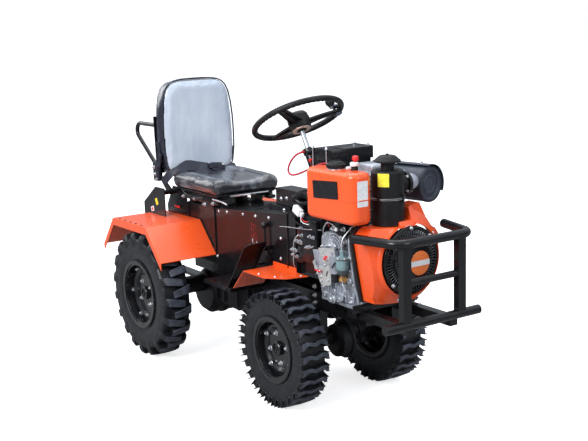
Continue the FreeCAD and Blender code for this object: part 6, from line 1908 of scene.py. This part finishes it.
def throttle_line():
    """Red throttle cable: a loop beside the column, over the tank's corner and on to the cylinder head."""
    low, _ = box("throttle_cable")
    points = [(-0.034, -0.268, 1.086), (-0.046, -0.235, 1.080), (-0.056, -0.200, 1.052), (-0.060, -0.172, 1.012),
              (-0.060, -0.170, 0.982),
              (-0.060, -0.205, 0.974), (-0.060, -0.270, 0.992), (-0.062, -0.350, 1.022), (-0.064, -0.420, 1.046),
              (-0.066, -0.480, 1.062),
              (-0.074, -0.540, 1.058), (-0.084, -0.590, 1.040), (-0.086, -0.620, 1.000),
              (low.x + 0.004, low.y + 0.004, 0.955)]
    obj = cable("throttle_line", points, 0.0045, "red_cable")
    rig.replaces(obj, "throttle_cable")
    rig.slot(obj, "red_cable")


def rear_covers():
    """Dark side covers under the seat's rear, between the body box and the gussets."""
    mesh = bmesh.new()
    for side in (-1, 1):
        slab(mesh, [(0.640, 0.825), (0.640, 0.640), (0.860, 0.640), (0.860, 0.720), (0.790, 0.825)], side * 0.150,
             side * -0.003)
        block(mesh, (0.012, 0.200, 0.012), moved((side * 0.156, 0.745, 0.700)), 0.002)
    piece("rear_covers", mesh, "black_steel")
    drawn("rear_reflector", "signal_red", block, (0.002, 0.060, 0.012), moved((-0.1635, 0.735, 0.722)), 0.0006)


def case_skirt():
    """Black steel lip round the foot of the crankcase."""
    low, high = box("crankcase")
    drawn("case_skirt", "black_steel", block, (high.x - low.x + 0.004, 0.004, 0.034),
          moved(((low.x + high.x) / 2, low.y - 0.003, low.z + 0.017)), 0.001)


def battery_fittings():
    """Battery hood, clamp rods, leads and terminals, and the strip beside the column."""
    low, high = box("battery_tray")
    left, right = low.x, high.x
    mesh = bmesh.new()
    block(mesh, (right - left - 0.004, 0.006, 0.052), moved(((left + right) / 2, low.y + 0.004, high.z - 0.016)), 0.001)
    block(mesh, (right - left - 0.004, 0.128, 0.004), moved(((left + right) / 2, (low.y + high.y) / 2, high.z + 0.008)),
          0.001)
    block(mesh, (0.004, 0.128, 0.050), moved((left + 0.002, (low.y + high.y) / 2, high.z - 0.014)), 0.001)
    block(mesh, (0.004, 0.128, 0.050), moved((right - 0.002, (low.y + high.y) / 2, high.z - 0.014)), 0.001)
    piece("battery_hood", mesh, "gloss_trim")
    mesh = bmesh.new()
    for x in (left - 0.004, right - 0.008):
        for y in (low.y + 0.030, high.y - 0.012):
            tube(mesh, [(x, y, high.z - 0.180), (x, y, high.z + 0.022)], 0.003, 8)
    piece("battery_rods", mesh, "zinc")
    places = [((x, y, high.z + 0.011), Z) for x in (left - 0.004, right - 0.008) for y in (low.y + 0.030,
            high.y - 0.012)]
    bolts("battery_rod_nuts", places, "zinc", across=0.011, height=0.007)
    mesh = bmesh.new()
    block(mesh, (0.026, 0.016, 0.020), moved((left - 0.012, high.y + 0.006, high.z - 0.012)), 0.003)
    block(mesh, (0.020, 0.030, 0.026), moved((-0.030, -0.338, 1.040)), 0.004)
    piece("lead_boots", mesh, "gloss_trim")
    drawn("lead_clip_red", "signal_red", block, (0.018, 0.016, 0.014), moved((-0.034, -0.318, 1.052)), 0.003)
    hose("battery_lead_red", [(-0.020, -0.318, 1.080), (-0.030, -0.330, 1.062), (-0.034, -0.318, 1.050),
                              (-0.028, -0.320, 1.020)], 0.0035, "signal_red")
    hose("battery_lead_black", [(-0.040, -0.376, 1.080), (-0.042, -0.352, 1.070), (-0.040, -0.344, 1.010),
                                (-0.036, -0.346, 0.950)], 0.0042, "gloss_trim")


def build():
    """Camera and studio first, then the pieces from the wheels up."""
    camera()
    studio()
    dress_nodes()
    tyres()
    rim_lips()
    duct_hood()
    cushion()
    backrest()
    steering()
    belts()
    seat_mechanism()
    battery_fittings()
    throttle_line()
    rear_covers()
    case_skirt()
    wheel_fittings()
    tank_fittings()
    cleaner_fittings()
    silencer_fittings()
    shroud_fittings()
    fan_fittings()
    governor()
    crankcase_castings()
    fuel_pump()
    panel_fittings()
    fender_fittings()
    bumper_fittings()


random.seed(7)
build()
with open("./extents.json", "w") as out:
    json.dump({"cad": [list(side) for side in cad_box], "visual": [list(side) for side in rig.bounds()]}, out)
